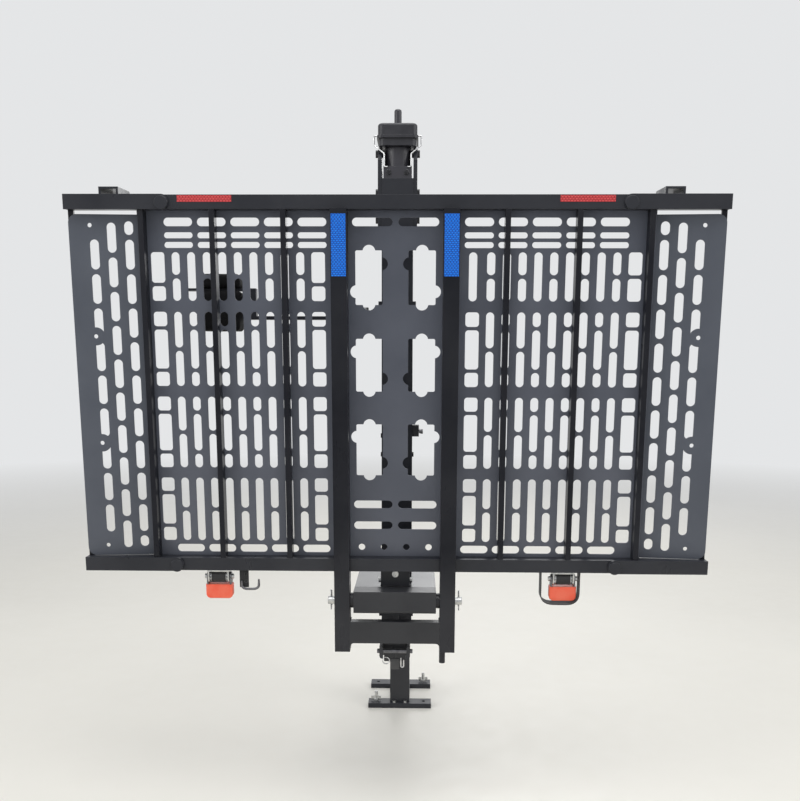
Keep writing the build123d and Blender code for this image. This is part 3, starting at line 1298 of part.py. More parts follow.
def slide_collar():
    """The square collar round the mast with the two plates that carry the hub pin."""
    inner = MAST_SIZE + 2 * COLLAR_CLEARANCE
    outer = inner + 2 * COLLAR_WALL
    z = (COLLAR_TOP_Z - COLLAR_HEIGHT, COLLAR_TOP_Z)
    collar = span(both(0, outer), both(MAST_Y, outer), z)
    for low in bracket_lows:
        plate_z = (low, low + BRACKET_THICKNESS)
        collar += span((HUB_X, 0), both(MAST_Y, BRACKET_DEPTH), plate_z)
        collar += rod_z(HUB_X, MAST_Y, plate_z, BRACKET_DEPTH)
        collar -= rod_z(HUB_X, MAST_Y, plate_z, HUB_PIN_DIAMETER)
    return collar - span(both(0, inner), both(MAST_Y, inner), z)


def hold_down_arm():
    """The arm: hub, bar, upright and the plate between the two pads."""
    hub_z = (hub_low + ARM_GAP, hub_high - ARM_GAP)
    bar_z = both((hub_low + hub_high) / 2, ARM_BAR_HEIGHT)
    bar_y = both(MAST_Y, ARM_BAR_DEPTH)
    upright_x = both(UPRIGHT_X, UPRIGHT_WIDTH)
    plate_z = (HOLD_PLATE_Z, HOLD_PLATE_Z + HOLD_PLATE_THICKNESS)
    arm_solid = span((upright_x[0], HUB_X), bar_y, bar_z)
    arm_solid += rod_z(HUB_X, MAST_Y, hub_z, HUB_DIAMETER)
    arm_solid += span(upright_x, bar_y, (bar_z[0], plate_z[1]))
    arm_solid += span((HOLD_PLATE_LEFT_X, upright_x[1]), bar_y, plate_z)
    return arm_solid - rod_z(HUB_X, MAST_Y, hub_z, HUB_PIN_DIAMETER + 2 * RUNNING_CLEARANCE)


def hold_pad(low, high):
    """A padded block above or below the plate."""
    block = span(both(HOLD_PAD_CENTRE_X, HOLD_PAD_WIDTH), both(MAST_Y, HOLD_PAD_DEPTH), (low, high))
    return fillet(block.edges(), HOLD_PAD_CORNER)


bracket_low = COLLAR_TOP_Z - COLLAR_HEIGHT
bracket_lows = (bracket_low, bracket_low + BRACKET_THICKNESS + BRACKET_GAP)
hub_low = bracket_lows[0] + BRACKET_THICKNESS
hub_high = bracket_lows[1]
plate_top = HOLD_PLATE_Z + HOLD_PLATE_THICKNESS
pin_z = (bracket_lows[0], bracket_lows[1] + BRACKET_THICKNESS + HUB_PIN_RISE)
ring_z = bracket_lows[1] + BRACKET_THICKNESS + RING_WIRE / 2
add("slide_collar", slide_collar())
add("hub_pin", rod_z(HUB_X, MAST_Y, pin_z, HUB_PIN_DIAMETER),
    ring(HUB_X, MAST_Y, ring_z, HUB_RING_RADIUS, RING_WIRE))
add("hold_down_arm", hold_down_arm())
add("hold_down_pads", hold_pad(plate_top, plate_top + HOLD_PAD_UPPER_HEIGHT),
    hold_pad(HOLD_PLATE_Z - HOLD_PAD_LOWER_HEIGHT, HOLD_PLATE_Z))


# Hitch bar and stand

def square_tube_y(size, wall, y, z):
    """A square tube along Y."""
    tube = span(both(0, size), y, both(z, size))
    inside = size - 2 * wall
    return tube - span(both(0, inside), y, both(z, inside))


def gusset(side):
    """A plate on the side of the hitch bar that braces the mast."""
    outline = Polyline(
        (MAST_BACK_Y, MAST_BOTTOM_Z),
        (MAST_BACK_Y + GUSSET_LENGTH, MAST_BOTTOM_Z),
        (MAST_BACK_Y + GUSSET_LENGTH, HITCH_BAR_Z + HITCH_BAR_SIZE / 4),
        (MAST_BACK_Y, HITCH_BAR_Z + HITCH_BAR_SIZE / 2 + GUSSET_HEIGHT),
        close=True,
    )
    start = HITCH_BAR_SIZE / 2 if side == 1 else -HITCH_BAR_SIZE / 2 - GUSSET_THICKNESS
    return Pos(start, 0, 0) * extrude(Plane.YZ * make_face(outline), GUSSET_THICKNESS, dir=(1, 0, 0))


def foot(centre_y):
    """A channel foot, open underneath, with an anchor hole near each end."""
    x = both(0, FOOT_LENGTH)
    y = both(centre_y, FOOT_DEPTH)
    channel = span(x, y, (0, FOOT_HEIGHT))
    inside_y = (y[0] + FOOT_WALL, y[1] - FOOT_WALL)
    channel -= span(x, inside_y, (0, FOOT_HEIGHT - FOOT_WALL))
    for side in SIDES:
        hole = ANCHOR_DIAMETER + ANCHOR_HOLE_CLEARANCE
        channel -= rod_z(side * ANCHOR_X, centre_y, (0, FOOT_HEIGHT), hole)
    return channel


def wing_nut(x, y):
    """A wing nut on an anchor stud."""
    low = FOOT_HEIGHT
    stud = rod_z(x, y, (0, low + ANCHOR_RISE), ANCHOR_DIAMETER)
    hub_z = (low, low + WING_HUB_HEIGHT)
    hub = rod_z(x, y, hub_z, WING_HUB_DIAMETER)
    wing_z = (low + WING_RISE, low + WING_RISE + WING_HEIGHT)
    wings = span(both(x, WING_SPAN), both(y, WING_THICKNESS), wing_z)
    wings -= rod_z(x, y, (low + WING_HUB_HEIGHT, wing_z[1]), ANCHOR_DIAMETER + WING_SLOT_CLEARANCE)
    wings = fillet(wings.edges().filter_by(Axis.Y).group_by(Axis.Z)[-1], WING_THICKNESS)
    return stud + hub + wings


hole_diameter = HITCH_PIN_DIAMETER + PIN_HOLE_CLEARANCE
receiver_half = RECEIVER_SIZE / 2
receiver_x = (-receiver_half, receiver_half)
receiver_y = both(0, RECEIVER_LENGTH)
hitch_hole = rod_x(receiver_x, HITCH_PIN_Y, HITCH_BAR_Z, hole_diameter)
bar = square_tube_y(HITCH_BAR_SIZE, HITCH_BAR_WALL, (MAST_BACK_Y, HITCH_BAR_END_Y), HITCH_BAR_Z)
receiver_wall = (RECEIVER_SIZE - HITCH_BAR_SIZE) / 2 - RECEIVER_CLEARANCE
receiver = square_tube_y(RECEIVER_SIZE, receiver_wall, receiver_y, HITCH_BAR_Z) - hitch_hole
pin_x = (-receiver_half - HITCH_PIN_HEAD_THICKNESS, receiver_half + HITCH_PIN_OUT)
hitch_pin = rod_x(pin_x, HITCH_PIN_Y, HITCH_BAR_Z, HITCH_PIN_DIAMETER)
hitch_pin += rod_x((pin_x[0], -receiver_half), HITCH_PIN_Y, HITCH_BAR_Z, HITCH_PIN_HEAD)
clip_x = receiver_half + HITCH_PIN_OUT / 2
clip_hole = rod_z(clip_x, HITCH_PIN_Y, both(HITCH_BAR_Z, HITCH_PIN_HEAD), CLIP_WIRE + CLIP_HOLE_CLEARANCE)
clip_back = HITCH_PIN_Y + (HITCH_PIN_DIAMETER + CLIP_WIRE) / 2 + CLIP_HOLE_CLEARANCE
clip_low, clip_high = both(HITCH_BAR_Z, CLIP_HEIGHT)
hitch_clip = wire_along(
    [(clip_x, HITCH_PIN_Y, clip_low), (clip_x, HITCH_PIN_Y, clip_high),
     (clip_x, clip_back, clip_high), (clip_x, clip_back, clip_high - CLIP_SHORT_LEG)],
    CLIP_BEND, CLIP_WIRE,
)
post_z = (FOOT_HEIGHT, RECEIVER_BOTTOM_Z)
post_inside = POST_SIZE - 2 * POST_WALL
post = span(both(0, POST_SIZE), both(0, POST_SIZE), post_z)
post -= span(both(0, post_inside), both(0, post_inside), post_z)
post -= rod_x(both(0, POST_SIZE), 0, POST_BOLT_Z, POST_BOLT_DIAMETER)
post_half = POST_SIZE / 2
bolt_end = post_half + POST_BOLT_OUT
post_bolt = rod_x((-bolt_end, bolt_end), 0, POST_BOLT_Z, POST_BOLT_DIAMETER)
for side in SIDES:
    nut_x = sorted((side * post_half, side * (post_half + POST_BOLT_HEAD_HEIGHT)))
    post_bolt += hex_x(nut_x, 0, POST_BOLT_Z, POST_BOLT_HEAD)
foot_bolts = [
    hex_z(side * FOOT_BOLT_X, -post_half - FOOT_BOLT_GAP, (FOOT_HEIGHT, FOOT_HEIGHT + FOOT_BOLT_HEIGHT),
          FOOT_BOLT_HEAD)
    for side in SIDES
]
base_y = (FRONT_FOOT_Y + FOOT_DEPTH / 2, REAR_FOOT_Y - FOOT_DEPTH / 2)
base_bar = span(both(0, BASE_BAR_WIDTH), base_y, (0, FOOT_HEIGHT))
add("hitch_bar", bar - hitch_hole, gusset(-1), gusset(1))
add("stand_receiver", receiver)
add("hitch_pin_and_clip", hitch_pin - clip_hole, hitch_clip)
add("stand_post", post)
add("stand_feet", foot(FRONT_FOOT_Y), foot(REAR_FOOT_Y), base_bar)
add("anchor_studs_and_wing_nuts", wing_nut(-ANCHOR_X, FRONT_FOOT_Y), wing_nut(ANCHOR_X, REAR_FOOT_Y))
add("stand_bolts", post_bolt, *foot_bolts)


os.makedirs("parts", exist_ok=True)
for name, part in nodes.items():
    export_step(part, f"parts/{name}.step")
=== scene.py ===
"""Looks of a hitch-mounted electric lift for mobility scooters, stored with its platform folded up.

Each sub-assembly is one class. It dresses the solids of the frame with painted, plated or moulded
finishes, and adds the pieces that a solid model leaves out: weld beads, webbing, stitching, ratchet
wheels, threads and foam. Lengths are in metres.
"""

from __future__ import annotations

import logging
import math
from dataclasses import dataclass
from enum import Enum
from functools import cache
from typing import Any, Iterable, Iterator, NamedTuple, Protocol, Sequence

import bmesh
import bpy
from mathutils import Matrix, Vector

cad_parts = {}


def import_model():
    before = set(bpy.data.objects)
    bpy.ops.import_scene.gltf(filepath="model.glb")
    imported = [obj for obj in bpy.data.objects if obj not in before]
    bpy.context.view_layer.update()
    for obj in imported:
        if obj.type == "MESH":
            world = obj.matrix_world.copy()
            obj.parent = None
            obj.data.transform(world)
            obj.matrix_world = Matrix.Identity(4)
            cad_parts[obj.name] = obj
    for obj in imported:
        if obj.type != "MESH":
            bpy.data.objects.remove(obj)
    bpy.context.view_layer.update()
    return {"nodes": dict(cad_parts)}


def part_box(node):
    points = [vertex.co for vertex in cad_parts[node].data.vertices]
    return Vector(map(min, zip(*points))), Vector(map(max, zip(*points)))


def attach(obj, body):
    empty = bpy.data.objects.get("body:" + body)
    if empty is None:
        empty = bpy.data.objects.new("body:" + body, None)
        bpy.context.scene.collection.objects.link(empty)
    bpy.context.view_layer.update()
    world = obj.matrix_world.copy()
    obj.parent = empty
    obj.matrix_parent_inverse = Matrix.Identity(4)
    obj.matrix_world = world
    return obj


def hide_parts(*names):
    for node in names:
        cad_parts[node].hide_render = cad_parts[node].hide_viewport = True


LOG = logging.getLogger("scooter_lift")

Colour = tuple[float, float, float]
Point = tuple[float, float, float]
Corner = tuple[float, float]
Span = tuple[float, float]
Bead = tuple[Sequence[float], Sequence[float], Sequence[float]]
Ring = list[Vector]
Skin = list[Ring]
Socket = bpy.types.NodeSocket
Material = bpy.types.Material
Mesh = bpy.types.Mesh
Inputs = dict[str | int, Any]

PIVOT = Vector((0.0, -0.571, 0.430))
LEAN = math.radians(3.0)
MAST_Y = -0.40525
FULL_TURN = 2 * math.pi
X_AXIS = Vector((1.0, 0.0, 0.0))
Z_AXIS = Vector((0.0, 0.0, 1.0))
BEND_STEPS = 8
NOISE_ROUGHNESS = 0.55
BEVEL_SAMPLES = 4
EDGE_RANGE = (0.995, 0.80)
# The colour sockets of a mix node, whose names its other sockets share.
MIX_FIRST, MIX_SECOND, MIX_RESULT = 6, 7, 2
RIBBON = ((1.0, 0.35), (0.95, 0.50), (0.86, 0.42))


class Body(Enum):
    """The moving bodies of the lift that added pieces ride on."""

    STAND = "stand_and_mast"
    CARRIAGE = "carriage"
    PLATFORM = "platform"
    HOLD_DOWN = "hold_down"


class Slot(Enum):
    """The record's finishes that added pieces belong to."""

    BLACK_PAINT = "black_paint"
    ZINC_STEEL = "zinc_steel"
    BLACK_PLASTIC = "black_plastic"
    PAD_FOAM = "pad_foam"
    WEBBING = "webbing"


class Axis(Enum):
    """A direction along which a pattern runs."""

    X = 0
    Z = 2


def stored(x: float, y: float, z: float) -> Vector:
    """Place a point of the platform, x to the right, y behind and z up from its hinge line."""
    return PIVOT + Matrix.Rotation(LEAN, 3, "X") @ Vector((x, y, z))


OUTWARD = stored(0, -1, 0) - stored(0, 0, 0)
INWARD = stored(0, 1, 0) - stored(0, 0, 0)


class Cloud(NamedTuple):
    """A noise: cells in a metre, octaves, the part of its range that is used, and its stretch."""

    cells: float
    octaves: float
    low: float = 0.0
    high: float = 1.0
    stretch: Point = (1.0, 1.0, 1.0)


class Wiring:
    """A node tree, with short calls for the nodes that this lift needs."""

    def __init__(self, owner: Material | bpy.types.World) -> None:
        """Empty the tree.

        Args:
            owner: The material or the world that has it.
        """
        owner.use_nodes = True
        self.tree = owner.node_tree
        self.tree.nodes.clear()

    def give(self, node: bpy.types.Node, inputs: Inputs) -> None:
        """Give a node's inputs what they need.

        Args:
            node: The node.
            inputs: By name or number of the input, a socket to join or a fixed value.
        """
        for key, value in inputs.items():
            if isinstance(value, Socket):
                self.tree.links.new(value, node.inputs[key])
            else:
                node.inputs[key].default_value = value

    def node(self, kind: str, inputs: Inputs | None = None) -> bpy.types.Node:
        """Add a node.

        Args:
            kind: Its type.
            inputs: What its inputs get.

        Returns:
            The node.
        """
        node = self.tree.nodes.new(kind)
        self.give(node, inputs or {})
        return node

    def place(self) -> Socket:
        """Return the coordinates that stay with the piece when it moves."""
        return self.node("ShaderNodeTexCoord").outputs["Object"]

    def height(self) -> Socket:
        """Return the height in the stored lift, which stays with the piece when it moves."""
        return self.node("ShaderNodeSeparateXYZ", {"Vector": self.place()}).outputs["Z"]

    def noise(self, cloud: Cloud) -> Socket:
        """Add a noise.

        Args:
            cloud: What it is like.

        Returns:
            Its value, over its whole range.
        """
        mapping = self.node("ShaderNodeMapping", {"Vector": self.place(), "Scale": cloud.stretch})
        noise = self.node("ShaderNodeTexNoise", {
            "Vector": mapping.outputs["Vector"], "Scale": cloud.cells, "Detail": cloud.octaves,
            "Roughness": NOISE_ROUGHNESS})
        return noise.outputs["Fac"]

    def remap(self, value: Socket, source: Span, target: Span = (0.0, 1.0)) -> Socket:
        """Carry a range of values to another range, clamped at its ends.

        Args:
            value: The value to carry over.
            source: The two values that give the ends of the target.
            target: The results at these two.

        Returns:
            The result's socket.
        """
        ranged = self.node("ShaderNodeMapRange", {
            "Value": value, "From Min": source[0], "From Max": source[1],
            "To Min": target[0], "To Max": target[1]})
        return ranged.outputs["Result"]

    def cloud(self, cloud: Cloud, target: Span = (0.0, 1.0)) -> Socket:
        """Add a noise and carry the part of its range that is used to another range."""
        return self.remap(self.noise(cloud), (cloud.low, cloud.high), target)

    def maths(self, operation: str, first: Socket, second: Socket | float) -> Socket:
        """Combine two values.

        Args:
            operation: Name of the operation.
            first: The first value.
            second: The second value, or a number.

        Returns:
            The result's socket.
        """
        maths = self.node("ShaderNodeMath")
        maths.operation = operation
        self.give(maths, {0: first, 1: second})
        return maths.outputs["Value"]

    def tint(self, share: Socket, first: Colour | Socket, second: Colour) -> Socket:
        """Blend two colours.

        Args:
            share: How much of the second colour shows.
            first: The first colour, or a socket that carries it.
            second: The second colour.

        Returns:
            The blend's socket.
        """
        mix = self.node("ShaderNodeMix")
        mix.data_type = "RGBA"
        start = (*first, 1.0) if isinstance(first, tuple) else first
        self.give(mix, {"Factor": share, MIX_FIRST: start, MIX_SECOND: (*second, 1.0)})
        return mix.outputs[MIX_RESULT]

    def edges(self, radius: float) -> tuple[Socket, Socket]:
        """Round the edges in shading and find them.

        Args:
            radius: Radius of the rounding.

        Returns:
            The rounded normal, and a value that is 0 on the flats and grows at the edges.
        """
        bevel = self.node("ShaderNodeBevel", {"Radius": radius})
        bevel.samples = BEVEL_SAMPLES
        flat = self.node("ShaderNodeNewGeometry")
        dot = self.node("ShaderNodeVectorMath")
        dot.operation = "DOT_PRODUCT"
        self.give(dot, {0: bevel.outputs["Normal"], 1: flat.outputs["Normal"]})
        return bevel.outputs["Normal"], self.remap(dot.outputs["Value"], EDGE_RANGE)

    def relief(self, height: Socket, depth: float, base: Socket | None = None) -> Socket:
        """Turn a height into a bumped normal.

        Args:
            height: The height, from 0 to 1.
            depth: What a height of 1 stands for.
            base: The normal that the bumps stand on.

        Returns:
            The bumped normal.
        """
        bump = self.node("ShaderNodeBump", {"Strength": 1.0, "Distance": depth, "Height": height})
        if base is not None:
            self.give(bump, {"Normal": base})
        return bump.outputs["Normal"]

    def seen(self) -> Socket:
        """Find the rays that show the background as it is.

        Returns:
            1 for camera, glossy and transmission rays, 0 for the others.
        """
        path = self.node("ShaderNodeLightPath").outputs
        either = self.maths("MAXIMUM", path["Is Camera Ray"], path["Is Glossy Ray"])
        return self.maths("MAXIMUM", either, path["Is Transmission Ray"])


class Recipe(Wiring):
    """The node tree of one material, round a principled shader."""

    def __init__(self, name: str) -> None:
        """Start a material.

        Args:
            name: The material's name.
        """
        self.material = bpy.data.materials.new(name)
        super().__init__(self.material)
        self.shader = self.node("ShaderNodeBsdfPrincipled")
        self.output = self.node("ShaderNodeOutputMaterial", {
            "Surface": self.shader.outputs["BSDF"]})

    def surface(self, colour: Socket, roughness: Socket, normal: Socket,
                fixed: Inputs | None = None) -> Material:
        """Connect the shader.

        Args:
            colour: The base colour.
            roughness: The roughness.
            normal: The normal.
            fixed: Inputs of the shader that are the same all over.

        Returns:
            The finished material.
        """
        joined = {"Base Color": colour, "Roughness": roughness, "Normal": normal}
        self.give(self.shader, {**joined, **(fixed or {})})
        return self.material


class Finish(Protocol):
    """Anything that can make a material."""

    name: str

    def build(self) -> Material:
        """Make the material."""


class LowPaling(NamedTuple):
    """A paler tint that thins out upwards, between two heights of the stored lift."""

    share: float
    foot: float
    top: float


@dataclass(frozen=True)
class PowderCoat:
    """Powder paint: a fine orange peel, dust in patches, a paler tint low down, rubbed edges."""

    name: str
    colour: Colour
    rubbed: Colour
    gloss: Span
    grain: float = 0.00010
    rub: float = 0.55
    shine: float = 0.5
    coat: float = 0.0
    low_paling: LowPaling | None = None

    EDGE_RADIUS = 0.0012
    PATCHES = Cloud(7.0, 4.0, 0.35, 0.70)
    PATCH_LIFT = 0.012
    PATCH_GAIN = 1.12
    LOW_PALE_COLOUR = (0.30, 0.30, 0.31)
    BROKEN = Cloud(90.0, 5.0, 0.48, 0.66)
    SMUDGES = Cloud(22.0, 5.0, 0.3, 0.72, (1.0, 1.0, 0.35))
    PEEL = Cloud(620.0, 2.0)
    COAT_ROUGHNESS = 0.06

    def build(self) -> Material:
        """Make the material.

        Returns:
            The material.
        """
        recipe = Recipe(self.name)
        rounded, edge = recipe.edges(self.EDGE_RADIUS)
        dusty = tuple(self.PATCH_LIFT + self.PATCH_GAIN * channel for channel in self.colour)
        colour = recipe.tint(recipe.cloud(self.PATCHES), self.colour, dusty)
        # Paler towards the bottom of the stored lift, fading out upwards.
        if self.low_paling:
            heights = (self.low_paling.foot, self.low_paling.top)
            paled_low = recipe.remap(recipe.height(), heights, (self.low_paling.share, 0.0))
            colour = recipe.tint(paled_low, colour, self.LOW_PALE_COLOUR)
        broken = recipe.maths("MULTIPLY", edge, recipe.cloud(self.BROKEN))
        colour = recipe.tint(recipe.maths("MULTIPLY", broken, self.rub), colour, self.rubbed)
        roughness = recipe.cloud(self.SMUDGES, self.gloss)
        normal = recipe.relief(recipe.noise(self.PEEL), self.grain, rounded)
        return recipe.surface(colour, roughness, normal, {
            "Specular IOR Level": self.shine, "Coat Weight": self.coat,
            "Coat Roughness": self.COAT_ROUGHNESS})


@dataclass(frozen=True)
class PlatedMetal:
    """Plated or bare metal: drawn lines, dull patches and brighter edges."""

    name: str
    colour: Colour
    dull: Colour
    gloss: Span
    drawn: Axis = Axis.Z

    EDGE_RADIUS = 0.0005
    PATCHES = Cloud(120.0, 4.0, 0.38, 0.66)
    BRIGHT = (0.82, 0.82, 0.80)
    BRIGHT_SHARE = 0.4
    LINES = Cloud(160.0, 4.0, 0.3, 0.7)
    ACROSS = 6.0
    ALONG = 0.4
    LINE_DEPTH = 0.00004

    def build(self) -> Material:
        """Make the material.

        Returns:
            The material.
        """
        recipe = Recipe(self.name)
        rounded, edge = recipe.edges(self.EDGE_RADIUS)
        colour = recipe.tint(recipe.cloud(self.PATCHES), self.colour, self.dull)
        colour = recipe.tint(recipe.maths("MULTIPLY", edge, self.BRIGHT_SHARE), colour, self.BRIGHT)
        stretch = [self.ACROSS] * 3
        stretch[self.drawn.value] = self.ALONG
        lines = recipe.noise(self.LINES._replace(stretch=tuple(stretch)))
        roughness = recipe.remap(lines, (self.LINES.low, self.LINES.high), self.gloss)
        normal = recipe.relief(lines, self.LINE_DEPTH, rounded)
        return recipe.surface(colour, roughness, normal, {"Metallic": 1.0})


@dataclass(frozen=True)
class MouldedPlastic:
    """Moulded plastic with a spark-eroded grain and paler rubbed edges."""

    name: str
    colour: Colour
    pale: Colour
    roughness: float
    grain: float = 900.0

    EDGE_RADIUS = 0.0010
    PATCHES = Cloud(40.0, 4.0, 0.4, 0.68)
    PATCH_SHARE = 0.35
    EDGE_SHARE = 0.6
    SMUDGES = Cloud(60.0, 3.0, 0.3, 0.7)
    SMOOTHER = 0.06
    ROUGHER = 0.10
    GRAIN_OCTAVES = 2.0
    GRAIN_DEPTH = 0.00012

    def build(self) -> Material:
        """Make the material.

        Returns:
            The material.
        """
        recipe = Recipe(self.name)
        rounded, edge = recipe.edges(self.EDGE_RADIUS)
        patch = recipe.cloud(self.PATCHES, (0.0, self.PATCH_SHARE))
        colour = recipe.tint(patch, self.colour, self.pale)
        colour = recipe.tint(recipe.maths("MULTIPLY", edge, self.EDGE_SHARE), colour, self.pale)
        grain = recipe.noise(Cloud(self.grain, self.GRAIN_OCTAVES))
        ends = (self.roughness - self.SMOOTHER, self.roughness + self.ROUGHER)
        normal = recipe.relief(grain, self.GRAIN_DEPTH, rounded)
        return recipe.surface(colour, recipe.cloud(self.SMUDGES, ends), normal)


@dataclass(frozen=True)
class SpongeFoam:
    """Closed-cell foam with open pores at the cut skin."""

    name: str
    colour: Colour
    worn: Colour

    PORE_CELLS = 520.0
    PIT = (0.05, 0.6)
    WEAR = Cloud(35.0, 5.0, 0.35, 0.7)
    ROUGHNESS = (0.95, 0.72)
    PIT_DEPTH = 0.00035
    SHINE = 0.12

    def build(self) -> Material:
        """Make the material.

        Returns:
            The material.
        """
        recipe = Recipe(self.name)
        pores = recipe.node("ShaderNodeTexVoronoi", {
            "Vector": recipe.place(), "Scale": self.PORE_CELLS})
        pit = recipe.remap(pores.outputs["Distance"], self.PIT)
        shade = recipe.maths("MULTIPLY", recipe.cloud(self.WEAR), pit)
        colour = recipe.tint(shade, self.colour, self.worn)
        roughness = recipe.remap(pit, (0.0, 1.0), self.ROUGHNESS)
        normal = recipe.relief(pit, self.PIT_DEPTH)
        return recipe.surface(colour, roughness, normal, {"Specular IOR Level": self.SHINE})


@dataclass(frozen=True)
class ReflectiveTape:
    """Prismatic reflective tape: small sealed cells with darker walls between them."""

    name: str
    cell: Colour
    wall: Colour
    cells: float = 125.0

    TURN = (math.radians(90.0), math.radians(45.0), 0.0)
    ROW_OFFSET = 0.5
    BRICKS = {"Mortar Size": 0.09, "Mortar Smooth": 0.5, "Brick Width": 0.5, "Row Height": 0.43}
    TONES = Cloud(330.0, 1.0, 0.42, 0.60)
    TONE_SHARE = 0.3
    TONE_LIFT = 0.02
    TONE_GAIN = 1.5
    WALL_SHARE = 0.95
    WALL_DEPTH = 0.00012
    ROUGHNESS = (0.22, 0.45)
    GLOSS = {"Specular IOR Level": 0.25, "Coat Weight": 0.15, "Coat Roughness": 0.15}

    def build(self) -> Material:
        """Make the material.

        Returns:
            The material.
        """
        recipe = Recipe(self.name)
        mapping = recipe.node("ShaderNodeMapping", {
            "Vector": recipe.place(), "Rotation": self.TURN})
        bricks = recipe.node("ShaderNodeTexBrick", {
            "Vector": mapping.outputs["Vector"], "Scale": self.cells, **self.BRICKS})
        bricks.offset = self.ROW_OFFSET
        walls = bricks.outputs["Fac"]
        tone = recipe.cloud(self.TONES, (0.0, self.TONE_SHARE))
        lighter = tuple(min(1.0, self.TONE_LIFT + self.TONE_GAIN * part) for part in self.cell)
        colour = recipe.tint(tone, self.cell, lighter)
        colour = recipe.tint(recipe.maths("MULTIPLY", walls, self.WALL_SHARE), colour, self.wall)
        roughness = recipe.remap(walls, (0.0, 1.0), self.ROUGHNESS)
        return recipe.surface(colour, roughness, recipe.relief(walls, self.WALL_DEPTH), self.GLOSS)


@dataclass(frozen=True)
class WovenWebbing:
    """Polyester webbing: fine ribs across the strap and a slight sheen."""

    name: str
    colour: Colour
    pale: Colour
    along: Axis

    RIBS = {"Scale": 210.0, "Distortion": 0.6, "Detail": 1.0}
    FUZZ = Cloud(1400.0, 2.0, 0.3, 0.7)
    FUZZ_SHARE = 0.35
    PALE_SHARE = 0.45
    ROUGHNESS = (0.62, 0.85)
    WEAVE_DEPTH = 0.00025
    SHEEN = {"Sheen Weight": 0.25, "Sheen Roughness": 0.4}

    def build(self) -> Material:
        """Make the material.

        Returns:
            The material.
        """
        recipe = Recipe(self.name)
        ribs = recipe.node("ShaderNodeTexWave", {"Vector": recipe.place(), **self.RIBS})
        ribs.wave_type = "BANDS"
        ribs.bands_direction = self.along.name
        fuzz = recipe.noise(self.FUZZ)
        fluff = recipe.maths("MULTIPLY", fuzz, self.FUZZ_SHARE)
        height = recipe.maths("ADD", ribs.outputs["Fac"], fluff)
        paler = recipe.maths("MULTIPLY", height, self.PALE_SHARE)
        colour = recipe.tint(paler, self.colour, self.pale)
        roughness = recipe.remap(fuzz, (self.FUZZ.low, self.FUZZ.high), self.ROUGHNESS)
        normal = recipe.relief(height, self.WEAVE_DEPTH)
        return recipe.surface(colour, roughness, normal, self.SHEEN)


